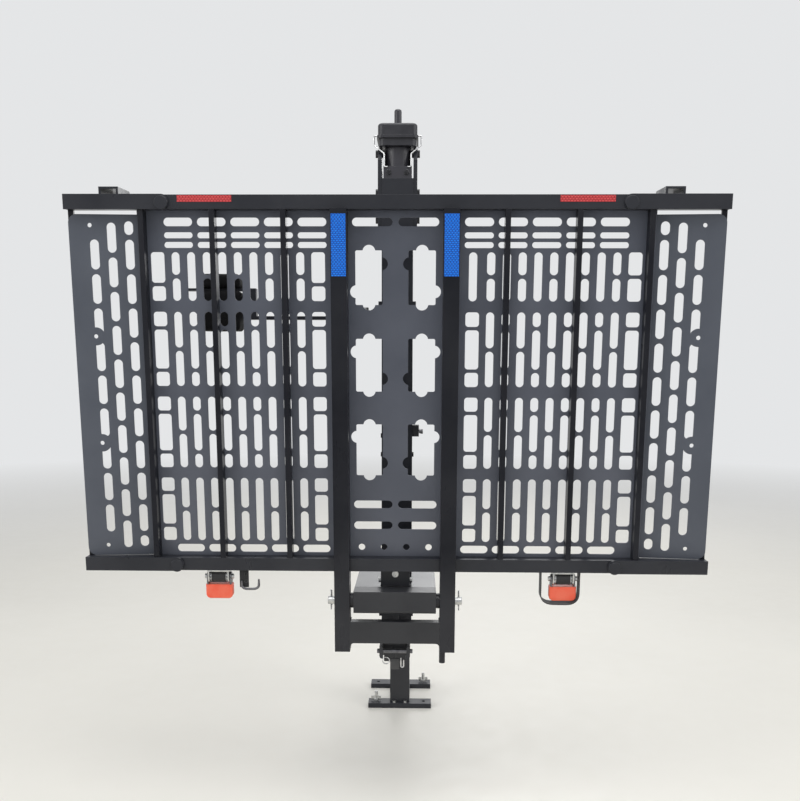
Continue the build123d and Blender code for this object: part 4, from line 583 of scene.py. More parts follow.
class Paintwork:
    """The lift's finishes."""

    FRAME = PowderCoat("frame powder coat", (0.0145, 0.0160, 0.0225), (0.10, 0.10, 0.110),
                       (0.26, 0.44), grain=0.00008, rub=0.6, shine=0.34,
                       low_paling=LowPaling(0.025, 0.46, 0.60))
    # A darker copy of the frame paint, paler towards the bottom: painted shade on the upper arms,
    # stiffeners and edge bars.
    SHADED_ARM = PowderCoat("arm powder coat", (0.0060, 0.0068, 0.0115), (0.10, 0.10, 0.110),
                     (0.24, 0.42), grain=0.00008, rub=0.6, shine=0.20,
                     low_paling=LowPaling(0.10, 0.40, 0.54))
    CARRIER = PowderCoat("carrier powder coat", (0.0265, 0.0275, 0.0320), (0.12, 0.12, 0.125),
                         (0.26, 0.42), grain=0.00008, rub=0.5, shine=0.42)
    WET = PowderCoat("wet look paint", (0.0150, 0.0155, 0.0180), (0.12, 0.12, 0.125),
                     (0.12, 0.20), grain=0.00004, rub=0.4, shine=0.50, coat=0.9)
    DECK = PowderCoat("deck powder coat", (0.081, 0.090, 0.118), (0.19, 0.195, 0.21),
                      (0.44, 0.60), grain=0.00014, rub=0.35, shine=0.40,
                      low_paling=LowPaling(0.10, 0.52, 0.90))
    RAMP = PowderCoat("ramp powder coat", (0.076, 0.086, 0.110), (0.19, 0.195, 0.21),
                      (0.42, 0.58), grain=0.00014, rub=0.35, shine=0.40,
                      low_paling=LowPaling(0.06, 0.52, 0.80))
    WELD = PowderCoat("painted weld", (0.010, 0.010, 0.012), (0.09, 0.09, 0.09),
                      (0.24, 0.42), grain=0.00018, rub=0.7, shine=0.35)
    MOTOR = PowderCoat("motor enamel", (0.030, 0.029, 0.038), (0.20, 0.20, 0.22),
                       (0.26, 0.42), grain=0.00006)
    ZINC = PlatedMetal("zinc plate", (0.62, 0.62, 0.60), (0.42, 0.43, 0.44), (0.22, 0.42))
    SPRING_WIRE = PlatedMetal("spring wire", (0.74, 0.74, 0.74), (0.50, 0.50, 0.51),
                              (0.18, 0.36), Axis.X)
    BLACK_OXIDE = PlatedMetal("black oxide", (0.060, 0.060, 0.064), (0.035, 0.035, 0.038),
                              (0.32, 0.50))
    DARK_STEEL = PlatedMetal("oiled steel", (0.20, 0.20, 0.21), (0.12, 0.12, 0.13),
                             (0.30, 0.50), Axis.X)
    TUBE_STEEL = PlatedMetal("drawn tube", (0.165, 0.167, 0.175), (0.140, 0.140, 0.146),
                             (0.30, 0.42))
    BRONZE = PlatedMetal("oiled bronze", (0.52, 0.33, 0.15), (0.30, 0.20, 0.11),
                         (0.28, 0.45), Axis.X)
    PLASTIC = MouldedPlastic("black plastic", (0.014, 0.014, 0.020), (0.05, 0.05, 0.058), 0.36)
    GLIDE = MouldedPlastic("glide plastic", (0.070, 0.070, 0.072), (0.11, 0.11, 0.112), 0.48, 400.0)
    GRIP = MouldedPlastic("orange grip", (0.98, 0.130, 0.066), (0.99, 0.30, 0.19), 0.40, 500.0)
    THREAD = MouldedPlastic("stitching thread", (0.06, 0.06, 0.06), (0.12, 0.12, 0.12), 0.7, 1500.0)
    TAG = MouldedPlastic("blank tag", (0.050, 0.050, 0.053), (0.09, 0.09, 0.092), 0.45, 300.0)
    FOAM = SpongeFoam("pad foam", (0.005, 0.005, 0.0055), (0.012, 0.012, 0.013))
    BLUE = ReflectiveTape("blue reflective tape", (0.012, 0.215, 0.900), (0.002, 0.055, 0.40))
    RED = ReflectiveTape("red reflective tape", (0.700, 0.085, 0.092), (0.36, 0.020, 0.024))
    STRAP = WovenWebbing("strap webbing", (0.010, 0.010, 0.011), (0.050, 0.050, 0.052), Axis.X)
    STRAP_DOWN = WovenWebbing("hanging webbing", (0.010, 0.010, 0.011), (0.050, 0.050, 0.052),
                              Axis.Z)


@cache
def mixed(finish: Finish) -> Material:
    """Return a finish's material, which is made once."""
    return finish.build()


def from_bmesh(work: bmesh.types.BMesh) -> Mesh:
    """Turn a finished bmesh into a mesh with its faces turned outwards.

    Args:
        work: The bmesh, which is freed.

    Returns:
        The mesh.
    """
    bmesh.ops.recalc_face_normals(work, faces=work.faces)
    mesh = bpy.data.meshes.new("piece")
    work.to_mesh(mesh)
    work.free()
    return mesh


def skin_mesh(skins: Iterable[Skin]) -> Mesh:
    """Make a mesh of closed skins.

    Args:
        skins: Rows of rings. The first and the last ring of each row are filled.

    Returns:
        The mesh.
    """
    work = bmesh.new()
    for skin in skins:
        rings = [[work.verts.new(point) for point in ring] for ring in skin]
        for near, far in zip(rings, rings[1:]):
            for corner in range(len(near)):
                following = (corner + 1) % len(near)
                work.faces.new((near[corner], near[following], far[following], far[corner]))
        work.faces.new(rings[0])
        work.faces.new(list(reversed(rings[-1])))
    return from_bmesh(work)


def frame_at(direction: Vector, up: Vector) -> tuple[Vector, Vector]:
    """Return the directions sideways and upwards of a line, of which the second leans to up."""
    side = direction.cross(up).normalized()
    return side, side.cross(direction).normalized()


def ring_at(point: Vector, section: Iterable[Corner], side: Vector, rise: Vector) -> Ring:
    """Stand a section at a point, along two directions."""
    return [point + side * a + rise * b for a, b in section]


def tangent(line: Sequence[Vector], index: int) -> Vector:
    """Return the direction of a line at one of its points."""
    return (line[min(len(line) - 1, index + 1)] - line[max(0, index - 1)]).normalized()


def sweep(line: Sequence[Vector], sections: Iterable[Sequence[Corner]], up: Vector) -> Skin:
    """Stand a section at each point of a line, its corners given sideways and upwards."""
    return [ring_at(point, section, *frame_at(tangent(line, index), up))
            for index, (point, section) in enumerate(zip(line, sections))]


def circle_section(radius: float, corners: int) -> list[Corner]:
    """Return the corners of a round section."""
    angles = [FULL_TURN * index / corners for index in range(corners)]
    return [(radius * math.cos(angle), radius * math.sin(angle)) for angle in angles]


def ribbon_section(width: float, thickness: float) -> list[Corner]:
    """Return the section of a flat strap, whose selvedges are a little thicker than its middle.

    Args:
        width: The strap's width.
        thickness: Its thickness at the selvedges.

    Returns:
        The section's corners.
    """
    right = [(width / 2 * across, thickness * up) for across, up in RIBBON]
    lower = [(-a, -b) for a, b in right] + [(a, -b) for a, b in reversed(right)]
    return lower + [(a, -b) for a, b in reversed(lower)]


def bent_line(points: Sequence[Vector], radius: float) -> list[Vector]:
    """Round the corners of a line, as a bending tool does.

    Args:
        points: The line's ends and corners.
        radius: How far from a corner the bend starts.

    Returns:
        The points of the rounded line.
    """
    line = [points[0]]
    for before, corner, after in zip(points, points[1:], points[2:]):
        start = corner + (before - corner).normalized() * min(radius, (before - corner).length / 2)
        end = corner + (after - corner).normalized() * min(radius, (after - corner).length / 2)
        for step in range(BEND_STEPS + 1):
            share = step / BEND_STEPS
            line.append(start.lerp(corner, share).lerp(corner.lerp(end, share), share))
    line.append(points[-1])
    return line


@dataclass(frozen=True)
class WeldBead:
    """A weld bead: overlapping scallops laid along a corner. Shares are of half its width."""

    size: float
    scallop: float = 0.9
    scallop_steps: int = 3
    fewest: int = 3
    tip: float = 0.45
    widening: float = 3.2
    taper: float = 3.0
    ripple: float = 0.10
    shake: float = 0.05
    shake_pace: float = 7.3
    corners: int = 8
    height: float = 0.62
    sunk: float = 0.18
    lag: float = 0.45

    def lay(self, start: Sequence[float], end: Sequence[float], face: Sequence[float]) -> Skin:
        """Lay one bead.

        Args:
            start: Where it starts.
            end: Where it ends.
            face: The direction that it faces, out of the corner.

        Returns:
            Its skin.
        """
        first, run = Vector(start), Vector(end) - Vector(start)
        direction = run.normalized()
        side, rise = frame_at(direction, Vector(face))
        scallops = max(self.fewest, round(run.length / (self.size * self.scallop)))
        stations = scallops * self.scallop_steps
        rings = []
        for station in range(stations + 1):
            share = station / stations
            opened = self.widening * min(share, 1 - share) * run.length / (self.taper * self.size)
            ripple = self.ripple * math.sin(FULL_TURN * station / self.scallop_steps)
            shake = self.shake * math.sin(self.shake_pace * station)
            swell = self.size * min(1.0, self.tip + opened) * (1.0 + ripple + shake)
            ring = []
            for corner in range(self.corners):
                angle = math.pi * corner / (self.corners - 1)
                lag = -self.lag * self.size * (1.0 - math.sin(angle))
                height = math.sin(angle) * swell * self.height - self.size * self.sunk
                centre = first + run * share + direction * lag
                ring.append(centre + side * (math.cos(angle) * swell) + rise * height)
            rings.append(ring)
        return rings


@dataclass(frozen=True)
class ScrewThread:
    """A screw thread on an upright stud, with pointed teeth."""

    radius: float
    pitch: float
    depth: float
    turn_steps: int = 14
    half_tooth: float = 0.42
    root: float = 0.5

    def cut(self, foot: Vector, height: float) -> Skin:
        """Cut the thread.

        Args:
            foot: The middle of its lower end.
            height: Its length.

        Returns:
            Its skin.
        """
        half, root = self.pitch * self.half_tooth, -self.depth * self.root
        tooth = ((root, -half), (self.depth, 0.0), (root, half))
        rings = []
        for step in range(int(height / self.pitch) * self.turn_steps + 1):
            angle = FULL_TURN * step / self.turn_steps
            point = foot + Vector((math.cos(angle) * self.radius, math.sin(angle) * self.radius,
                                   self.pitch * step / self.turn_steps))
            out = Vector((point.x - foot.x, point.y - foot.y, 0.0)).normalized()
            rings.append(ring_at(point, tooth, out, Z_AXIS))
        return rings


@dataclass(frozen=True)
class Stitching:
    """A row of stitches that stand off a strap. Heights are in radii of the thread."""

    length: float = 0.0026
    thread: float = 0.0004
    pace: float = 1.35
    ends: Span = (0.12, 0.86)
    crown: float = 1.3
    shoulder: float = 0.6
    shoulder_share: float = 0.55
    corners: int = 6

    def row(self, start: Vector, end: Vector, out: Vector) -> Iterator[Skin]:
        """Lay one row.

        Args:
            start: Where it starts.
            end: Where it ends.
            out: The direction in which the stitches stand off the strap.

        Returns:
            The skin of each stitch in turn.
        """
        run = end - start
        count = max(1, int(run.length / (self.length * self.pace)))
        section = circle_section(self.thread, self.corners)
        lift = out * self.thread * self.shoulder
        for index in range(count):
            head, tail = (start + run * ((index + share) / count) for share in self.ends)
            middle = (head + tail) / 2 + out * self.thread * self.crown
            line = [head, head.lerp(middle, self.shoulder_share) + lift, middle,
                    tail.lerp(middle, self.shoulder_share) + lift, tail]
            yield sweep(line, [section] * len(line), out)


class Workshop:
    """Where nodes are dressed, and pieces are made and fitted to bodies."""

    def __init__(self, nodes: dict[str, bpy.types.Object]) -> None:
        """Open the workshop with the frame's nodes by name."""
        self.nodes = nodes

    def dress(self, finish: Finish, *names: str) -> None:
        """Give nodes a finish.

        Args:
            finish: The finish.
            names: Names of the nodes.
        """
        material = mixed(finish)
        for name in names:
            slots = self.nodes[name].material_slots
            if not slots:
                self.nodes[name].data.materials.append(material)
            for slot in slots:
                slot.link = "OBJECT"
                slot.material = material
            LOG.info("dressed %s in %s", name, finish.name)

    def fit(self, name: str, mesh: Mesh, finish: Finish, body: Body, slot: Slot,
            smooth: float = 35.0) -> bpy.types.Object:
        """Hang a mesh on a body as a piece.

        Args:
            name: The piece's name.
            mesh: Its mesh, in the lift's frame.
            finish: Its finish.
            body: The body that it rides on.
            slot: The record's finish that it belongs to. Not used.
            smooth: The sharpest angle that is still shaded smooth, in degrees.

        Returns:
            The piece.
        """
        mesh.name = name
        mesh.materials.append(mixed(finish))
        mesh.shade_smooth()
        mesh.set_sharp_from_angle(angle=math.radians(smooth))
        piece = bpy.data.objects.new(name, mesh)
        bpy.context.scene.collection.objects.link(piece)
        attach(piece, body.value)
        LOG.info("built %s on %s: %d faces", name, body.value, len(mesh.polygons))
        return piece

    def weld(self, name: str, bead: WeldBead, beads: Iterable[Bead], body: Body) -> None:
        """Lay painted weld beads, given by start, end and facing, on a body as one piece."""
        mesh = skin_mesh(bead.lay(*place) for place in beads)
        self.fit(name, mesh, Paintwork.WELD, body, Slot.BLACK_PAINT)


@dataclass
class Platform:
    """The folding platform: slotted decks, ramps, rails, arms and tapes."""

    bar_places: tuple[float, ...] = (0.2065, 0.3380, 0.4695)
    bar_half: float = 0.005
    bar_depth: float = 0.017
    rail_front: float = -0.0034
    rail_tops: Span = (0.0854, 0.7456)
    arm_inner: float = 0.0885
    arm_outer: float = 0.1185
    arm_seam: Span = (0.064, 0.082)
    arm_inset: float = 0.002
    cross_rows: Span = (-0.083, -0.039)
    cross_half: float = 0.012
    bead: WeldBead = WeldBead(0.0024)

    def beads(self) -> Iterator[Bead]:
        """List the weld beads that hold bars, arms and cross plate together.

        Returns:
            Start, end and facing of each bead.
        """
        low, high = self.rail_tops
        front, half = self.rail_front, self.cross_half
        for side in (-1, 1):
            for place in self.bar_places:
                for edge in (-1, 1):
                    x = side * place + edge * self.bar_half
                    for z, down in ((low, 1), (high, -1)):
                        yield stored(x, 0.0, z), stored(x, self.bar_depth, z), (edge, 0, down)
            x = side * self.arm_outer
            foot, top = self.arm_seam
            yield stored(x, front, foot), stored(x, front, top), (side, -1, 0)
            ends = (self.arm_inner + self.arm_inset, self.arm_outer - self.arm_inset)
            yield *(stored(side * end, front, high) for end in ends), (0, -1, 1)
            x = side * self.arm_inner
            for z, up in zip(reversed(self.cross_rows), (1, -1)):
                yield stored(x, -half, z), stored(x, half, z), (-side, 0, up)

    def build(self, shop: Workshop) -> None:
        """Dress the platform and weld it.

        Args:
            shop: The workshop.
        """
        shop.dress(Paintwork.DECK, "centre_deck_panel", "left_deck_panel", "right_deck_panel")
        shop.dress(Paintwork.RAMP, "left_ramp_plate", "right_ramp_plate")
        shop.dress(Paintwork.FRAME, "upper_rail", "lower_rail", "rail_end_plates",
                   "tie_down_pockets")
        # Arms, stiffeners and edge bars wear the frame paint darkened with painted shade.
        shop.dress(Paintwork.SHADED_ARM, "left_swing_arm", "right_swing_arm", "deck_stiffeners",
                   "ramp_edge_bars")
        shop.dress(Paintwork.CARRIER, "cross_plate")
        shop.dress(Paintwork.BLUE, "blue_reflective_tapes")
        shop.dress(Paintwork.RED, "red_reflective_tapes")
        shop.weld("platform_weld_beads", self.bead, self.beads(), Body.PLATFORM)


@dataclass
class StrapGear:
    """The two ratchets under the lower rail with their straps, wheels and hook."""

    ratchets: Span = (-0.349, 0.331)
    shaft_y: float = 0.0093
    shaft_z: float = 0.045
    rail_bottom: float = 0.060
    clearance: float = 0.0002
    half_gap: float = 0.018
    wheel_width: float = 0.0024
    wheel_smooth: float = 20.0
    teeth: int = 11
    tooth: tuple[Corner, ...] = ((0.0, 0.0108), (0.12, 0.0126), (0.30, 0.0126), (0.95, 0.0108))
    strap: float = 0.0020
    wound_length: float = 0.0682
    wound_radius: float = 0.0114
    wound_growth: float = 0.0008
    wound_thickness: float = 0.0012
    wound_start: float = math.radians(100.0)
    wound_turns: float = 0.92
    wound_steps: int = 40
    loop_left: float = -0.045
    loop_right: float = 0.033
    loop_drop: float = 0.066
    loop_width: float = 0.025
    loop_bend: float = 0.026
    loop_waist: float = 0.0006
    waist_rise: float = 0.012
    loop_sway: float = 0.0007
    sway_pace: float = 0.55
    hook_x: float = -0.299
    hook_width: float = 0.018
    hook_drop: float = 0.036
    hook_wire: float = 0.005
    strap_front: float = 0.0026
    hook_eye: float = 0.014
    hook_reach: float = 0.034
    hook_tip: float = 0.020
    hook_bend: float = 0.012
    wire_share: float = 0.98
    tip_share: float = 0.72
    wire_corners: int = 12
    strap_wave: float = 0.00035
    strap_steps: int = 12
    seam_sides: Span = (0.0005, 0.0070)
    seam_ends: Span = (0.006, 0.026)
    seam_off: float = 0.0001
    stitching: Stitching = Stitching()

    def wheels(self) -> Iterator[Skin]:
        """Cut the toothed wheels at both ends of both spools.

        Returns:
            The skin of each wheel in turn.
        """
        outline = []
        for tooth in range(self.teeth):
            for share, radius in self.tooth:
                angle = FULL_TURN * (tooth + share) / self.teeth
                outline.append((radius * math.cos(angle), radius * math.sin(angle)))
        for x in self.ratchets:
            left = x - self.half_gap + self.clearance
            right = x + self.half_gap - self.clearance - self.wheel_width
            for low in (left, right):
                yield [[stored(face, self.shaft_y + a, self.shaft_z + b) for a, b in outline]
                       for face in (low, low + self.wheel_width)]

    def wound(self, x: float) -> Skin:
        """Wind the strap on a spool.

        Args:
            x: The middle of the ratchet.

        Returns:
            The wound strap, with its outer end coming off over the top.
        """
        middle = stored(x, self.shaft_y, self.shaft_z)
        section = ribbon_section(self.loop_width + 0.003, self.wound_thickness)
        rings = []
        for step in range(self.wound_steps + 1):
            turned = FULL_TURN * self.wound_turns * step / self.wound_steps
            angle = self.wound_start + turned
            radius = self.wound_radius + self.wound_growth * step / self.wound_steps
            point = stored(x, self.shaft_y + radius * math.cos(angle),
                           self.shaft_z + radius * math.sin(angle))
            rings.append(ring_at(point, section, X_AXIS, (point - middle).normalized()))
        return rings

    def loop_line(self) -> list[Vector]:
        """Return the middle line of the right strap's open loop.

        Returns:
            Its points, from the loop's left end at the rail round to its right end.
        """
        half, top = self.strap / 2, self.rail_bottom - self.clearance
        left = self.ratchets[1] + self.loop_left + half
        right = self.ratchets[1] + self.loop_right - half
        low = self.rail_bottom - self.loop_drop + half
        waist = (self.rail_bottom + low) / 2 + self.waist_rise
        places = ((left, top), (left + self.loop_waist, waist), (left, low),
                  (right, low), (right - self.loop_waist, waist), (right, top))
        return bent_line([stored(x, self.shaft_y, z) for x, z in places], self.loop_bend)

    def loop_length(self) -> float:
        """Return the length of webbing in the open loop."""
        line = self.loop_line()
        return sum((after - before).length for before, after in zip(line, line[1:]))

    def loop(self) -> Skin:
        """Lay the right strap's open loop, swaying a little.

        Returns:
            Its skin.
        """
        section = ribbon_section(self.loop_width, self.strap)
        line = self.loop_line()
        rings = []
        for index, point in enumerate(line):
            sway = self.loop_sway * math.sin(index * self.sway_pace)
            swayed = [(a + sway, b) for a, b in section]
            out = tangent(line, index).cross(INWARD).normalized()
            rings.append(ring_at(point, swayed, INWARD, out))
        return rings

    def hanging_strap(self) -> Skin:
        """Hang the short strap that holds the hook, with a slight wave.

        Returns:
            Its skin.
        """
        middle, top = self.strap_front + self.strap / 2, self.rail_bottom - self.clearance
        line = []
        for step in range(self.strap_steps + 1):
            share = step / self.strap_steps
            wave = self.strap_wave * math.sin(FULL_TURN * share)
            down = (self.hook_drop - 2 * self.clearance) * share
            line.append(stored(self.hook_x, middle + wave, top - down))
        section = ribbon_section(self.hook_width, self.strap)
        return sweep(line, [section] * len(line), OUTWARD)

    def hook(self) -> Skin:
        """Bend the wire hook at the end of the hanging strap, narrower at its tips.

        Returns:
            Its skin.
        """
        y = self.strap_front - self.hook_wire / 2
        start = self.hook_x - self.hook_width / 4
        strap_low = self.rail_bottom - self.hook_drop
        low = strap_low - self.hook_wire / 2
        places = ((start, strap_low + self.hook_eye), (start, low),
                  (start + self.hook_reach, low), (start + self.hook_reach, low + self.hook_tip))
        line = bent_line([stored(x, y, z) for x, z in places], self.hook_bend)
        radius = self.hook_wire / 2 * self.wire_share
        wire, tip = (circle_section(radius * share, self.wire_corners)
                     for share in (1.0, self.tip_share))
        return sweep(line, [tip, *[wire] * (len(line) - 2), tip], OUTWARD)

    def seam(self) -> Iterator[Skin]:
        """Sew the hook strap: a box with a cross in it.

        Returns:
            The skin of each stitch in turn.
        """
        face = self.strap_front - self.seam_off
        left, right = (self.hook_x + off for off in self.seam_sides)
        high, low = (self.rail_bottom - drop for drop in self.seam_ends)
        places = {"a": (left, high), "b": (right, high), "c": (right, low), "d": (left, low)}
        corner = {key: stored(x, face, z) for key, (x, z) in places.items()}
        for first, second in ("ab", "bc", "cd", "da", "ac", "bd"):
            yield from self.stitching.row(corner[first], corner[second], OUTWARD)

    def build(self, shop: Workshop) -> None:
        """Build and dress the ratchets.

        Args:
            shop: The workshop.
        """
        shop.dress(Paintwork.ZINC, "ratchet_frames_and_spools")
        shop.dress(Paintwork.DARK_STEEL, "left_handle_plates", "right_handle_plates")
        shop.dress(Paintwork.GRIP, "left_handle_grip", "right_handle_grip")
        shop.fit("ratchet_wheels", skin_mesh(self.wheels()), Paintwork.DARK_STEEL, Body.PLATFORM,
                 Slot.ZINC_STEEL, self.wheel_smooth)
        for name, x in zip(("left_wound_strap", "right_wound_strap"), self.ratchets):
            wound = shop.fit(name, skin_mesh([self.wound(x)]), Paintwork.STRAP, Body.PLATFORM,
                             Slot.WEBBING)
        loop = shop.fit("right_strap_loop", skin_mesh([self.loop()]), Paintwork.STRAP_DOWN,
                        Body.PLATFORM, Slot.WEBBING)
        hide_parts("strap_loop")
        self.loop_length()
        strap = shop.fit("hook_strap", skin_mesh([self.hanging_strap()]), Paintwork.STRAP_DOWN,
                         Body.PLATFORM, Slot.WEBBING)
        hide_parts("strap_hook")
        shop.fit("hook_wire", skin_mesh([self.hook()]), Paintwork.DARK_STEEL, Body.PLATFORM,
                 Slot.ZINC_STEEL)
        seam = shop.fit("hook_strap_stitches", skin_mesh(self.seam()), Paintwork.THREAD,
                        Body.PLATFORM, Slot.WEBBING)


@dataclass
class Carriage:
    """What slides on the mast: pivot box, foot plate, cheeks, latch and lock."""

    web_half: float = 0.005
    box_inset: float = 0.004
    cheek_gap: float = 0.006
    cheek_inset: float = 0.008
    latch_inset: float = 0.003
    latch_end: float = 0.004
    bead: WeldBead = WeldBead(0.0024)
    tag_low: Point = (-0.0083, -0.5578, 0.2837)
    tag_high: Point = (0.0083, -0.5558, 0.3063)
    tag_edge: float = 0.0004

    def beads(self) -> Iterator[Bead]:
        """List the weld beads of the carriage.

        Returns:
            Start, end and facing of each bead.
        """
        _, box_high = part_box("pivot_box")
        top_low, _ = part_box("top_plate")
        latch_low, latch_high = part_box("latch_bracket")
        cheek_low, cheek_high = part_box("cheek_plates")
        seam = latch_low.z
        for side, latch in ((-1, latch_low), (1, latch_high)):
            x, z, face = side * self.web_half, top_low.z, (side, 0, -1)
            yield (x, box_high.y + self.box_inset, z), (x, cheek_low.y - self.cheek_gap, z), face
            x, inset = side * cheek_high.x, self.cheek_inset
            yield (x, cheek_low.y + inset, z), (x, cheek_high.y - inset, z), face
            x, inset = latch.x, self.latch_inset
            yield (x, latch_low.y + inset, seam), (x, latch_high.y - inset, seam), (side, 0, 1)
        yield ((latch_low.x + self.latch_end, latch_low.y, seam),
               (latch_high.x - self.latch_end, latch_low.y, seam), (0, -1, 1))

    def tag(self) -> Mesh:
        """Make the moulded skin round the blank tag.

        Returns:
            Its mesh.
        """
        work = bmesh.new()
        bmesh.ops.create_cube(work, size=1.0)
        low, high = Vector(self.tag_low), Vector(self.tag_high)
        for vert in work.verts:
            vert.co = (low + high) / 2 + vert.co * (high - low)
        bmesh.ops.bevel(work, geom=work.edges[:], offset=self.tag_edge, segments=2, profile=0.5,
                        affect="EDGES")
        return from_bmesh(work)

    def build(self, shop: Workshop) -> None:
        """Dress the carriage and weld it.

        Args:
            shop: The workshop.
        """
        shop.dress(Paintwork.FRAME, "carriage_web", "cheek_plates", "latch_bracket")
        shop.dress(Paintwork.CARRIER, "pivot_box", "lock_bracket")
        shop.dress(Paintwork.WET, "top_plate")
        shop.dress(Paintwork.ZINC, "pivot_shaft", "latch_bolt_and_pin")
        shop.dress(Paintwork.SPRING_WIRE, "shaft_clips", "lock_ring_tag_and_clip")
        shop.dress(Paintwork.PLASTIC, "pivot_bushes")
        shop.dress(Paintwork.TUBE_STEEL, "inner_tube")
        shop.dress(Paintwork.DARK_STEEL, "lock_pin")
        shop.dress(Paintwork.BRONZE, "drive_nut")
        shop.weld("carriage_weld_beads", self.bead, self.beads(), Body.CARRIAGE)
        shop.fit("tag_skin", self.tag(), Paintwork.TAG, Body.CARRIAGE, Slot.BLACK_PLASTIC)


@dataclass
class Mast:
    """The upright mast with its drive, cap, limit switch and the hitch bar under it."""

    half: float = 0.03175
    bar_half: float = 0.0254
    bar_seam: Span = (0.310, 0.352)
    top_half: float = 0.022
    top_seam: float = 0.3564
    bead: WeldBead = WeldBead(0.0028)

    def beads(self) -> Iterator[Bead]:
        """List the weld beads between mast, hitch bar and gussets.

        Returns:
            Start, end and facing of each bead.
        """
        back, (low, high) = MAST_Y + self.half, self.bar_seam
        for side in (-1, 1):
            x = side * self.bar_half
            yield (x, back, low), (x, back, high), (side, 1, 0)
        yield (-self.top_half, back, self.top_seam), (self.top_half, back, self.top_seam), (0, 1, 1)

    def build(self, shop: Workshop) -> None:
        """Dress the mast and its drive.

        Args:
            shop: The workshop.
        """
        shop.dress(Paintwork.FRAME, "mast_tube", "head_side_plates", "hitch_bar")
        shop.dress(Paintwork.BLACK_OXIDE, "mast_bolts")
        shop.dress(Paintwork.ZINC, "hitch_pin_and_clip")
        shop.dress(Paintwork.SPRING_WIRE, "cap_clips")
        shop.dress(Paintwork.MOTOR, "drive_flange", "motor_neck", "drive_screw")
        shop.dress(Paintwork.PLASTIC, "motor_cap", "limit_switch")
        shop.dress(Paintwork.DARK_STEEL, "switch_lever")
        shop.dress(Paintwork.GLIDE, "glide_pads")
        shop.weld("mast_weld_beads", self.bead, self.beads(), Body.STAND)


@dataclass
class HoldDown:
    """The collar on the mast and the swinging arm, whose two foam pads press on a scooter."""

    pad_x: Span = (-0.415, -0.323)
    pad_y: float = 0.030
    lower_row: Span = (0.962, 1.044)
    upper_row: Span = (1.049, 1.077)
    corner: float = 0.008
    corner_share: float = 0.55
    cuts: int = 15
    crown: float = 0.030
    dent: float = 0.00035
    sin_paces: Span = (5.1, 3.3)
    cos_paces: Span = (4.3, 2.1)
    smooth: float = 80.0

    def pad(self, low: float, high: float) -> Mesh:
        """Make one foam pad: a block with round edges, crowned sides and shallow dents.

        Args:
            low: Height of its lower face.
            high: Height of its upper face.

        Returns:
            The pad's mesh.
        """
        work = bmesh.new()
        bmesh.ops.create_cube(work, size=1.0)
        bmesh.ops.subdivide_edges(work, edges=work.edges, cuts=self.cuts, use_grid_fill=True)
        left, right = self.pad_x
        centre = Vector(((left + right) / 2, MAST_Y, (low + high) / 2))
        half = Vector(((right - left) / 2, self.pad_y, (high - low) / 2))
        corner = min(self.corner, half.z * self.corner_share)
        inner = Vector([size - corner for size in half])
        for vert in work.verts:
            unit = vert.co * 2.0
            point = unit * half
            core = Vector([max(-limit, min(limit, value)) for limit, value in zip(inner, point)])
            out = (point - core).normalized()
            place = core + out * corner
            narrowed = min(1.0, 1.0 - self.crown * (unit.length_squared - 1.0))
            place = Vector((place.x * narrowed, place.y * narrowed, place.z))
            wave = math.sin(unit.x * self.sin_paces[0] + unit.z * self.sin_paces[1])
            wave *= math.cos(unit.y * self.cos_paces[0] + unit.z * self.cos_paces[1])
            vert.co = centre + place + out * (self.dent * wave)
        return from_bmesh(work)

    def build(self, shop: Workshop) -> None:
        """Build and dress the hold-down.

        Args:
            shop: The workshop.
        """
        shop.dress(Paintwork.FRAME, "slide_collar", "hold_down_arm")
        shop.dress(Paintwork.ZINC, "hub_pin")
        for name, row in (("lower_pad", self.lower_row), ("upper_pad", self.upper_row)):
            piece = shop.fit(name, self.pad(*row), Paintwork.FOAM, Body.HOLD_DOWN,
                             Slot.PAD_FOAM, self.smooth)
            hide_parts("hold_down_pads")


@dataclass
class Stand:
    """The floor stand with its receiver, feet, anchors and bolts."""

    anchors: tuple[Span, ...] = ((-0.0625, -0.021), (0.0625, 0.127))
    thread: ScrewThread = ScrewThread(radius=0.0039, pitch=0.00125, depth=0.0004)
    thread_length: float = 0.0070
    thread_below_top: float = 0.0085
    post_inset: float = 0.004
    bead: WeldBead = WeldBead(0.0028)

    def beads(self) -> Iterator[Bead]:
        """List the weld beads of the stand.

        Returns:
            Start, end and facing of each bead.
        """
        post_low, post_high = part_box("stand_post")
        inset, z = self.post_inset, post_high.z
        for side, near in ((-1, post_low), (1, post_high)):
            yield ((near.x, post_low.y + inset, z), (near.x, post_high.y - inset, z),
                   (side, 0, -1))
            yield ((post_low.x + inset, near.y, z), (post_high.x - inset, near.y, z),
                   (0, side, -1))

    def threads(self) -> Iterator[Skin]:
        """Cut the threads on the anchor studs, above their wing nuts.

        Returns:
            The skin of each thread in turn.
        """
        _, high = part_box("anchor_studs_and_wing_nuts")
        for x, y in self.anchors:
            foot = Vector((x, y, high.z - self.thread_below_top))
            yield self.thread.cut(foot, self.thread_length)

    def build(self, shop: Workshop) -> None:
        """Dress the stand and weld it.

        Args:
            shop: The workshop.
        """
        shop.dress(Paintwork.FRAME, "stand_receiver", "stand_feet")
        shop.dress(Paintwork.CARRIER, "stand_post")
        shop.dress(Paintwork.ZINC, "anchor_studs_and_wing_nuts", "stand_bolts")
        shop.fit("anchor_threads", skin_mesh(self.threads()), Paintwork.ZINC, Body.STAND,
                 Slot.ZINC_STEEL)
        shop.weld("stand_weld_beads", self.bead, self.beads(), Body.STAND)


class Lamp(NamedTuple):
    """A round soft lamp: where it hangs, where it points, its width and its power in watts."""

    name: str
    place: Point
    target: Point
    width: float
    power: float


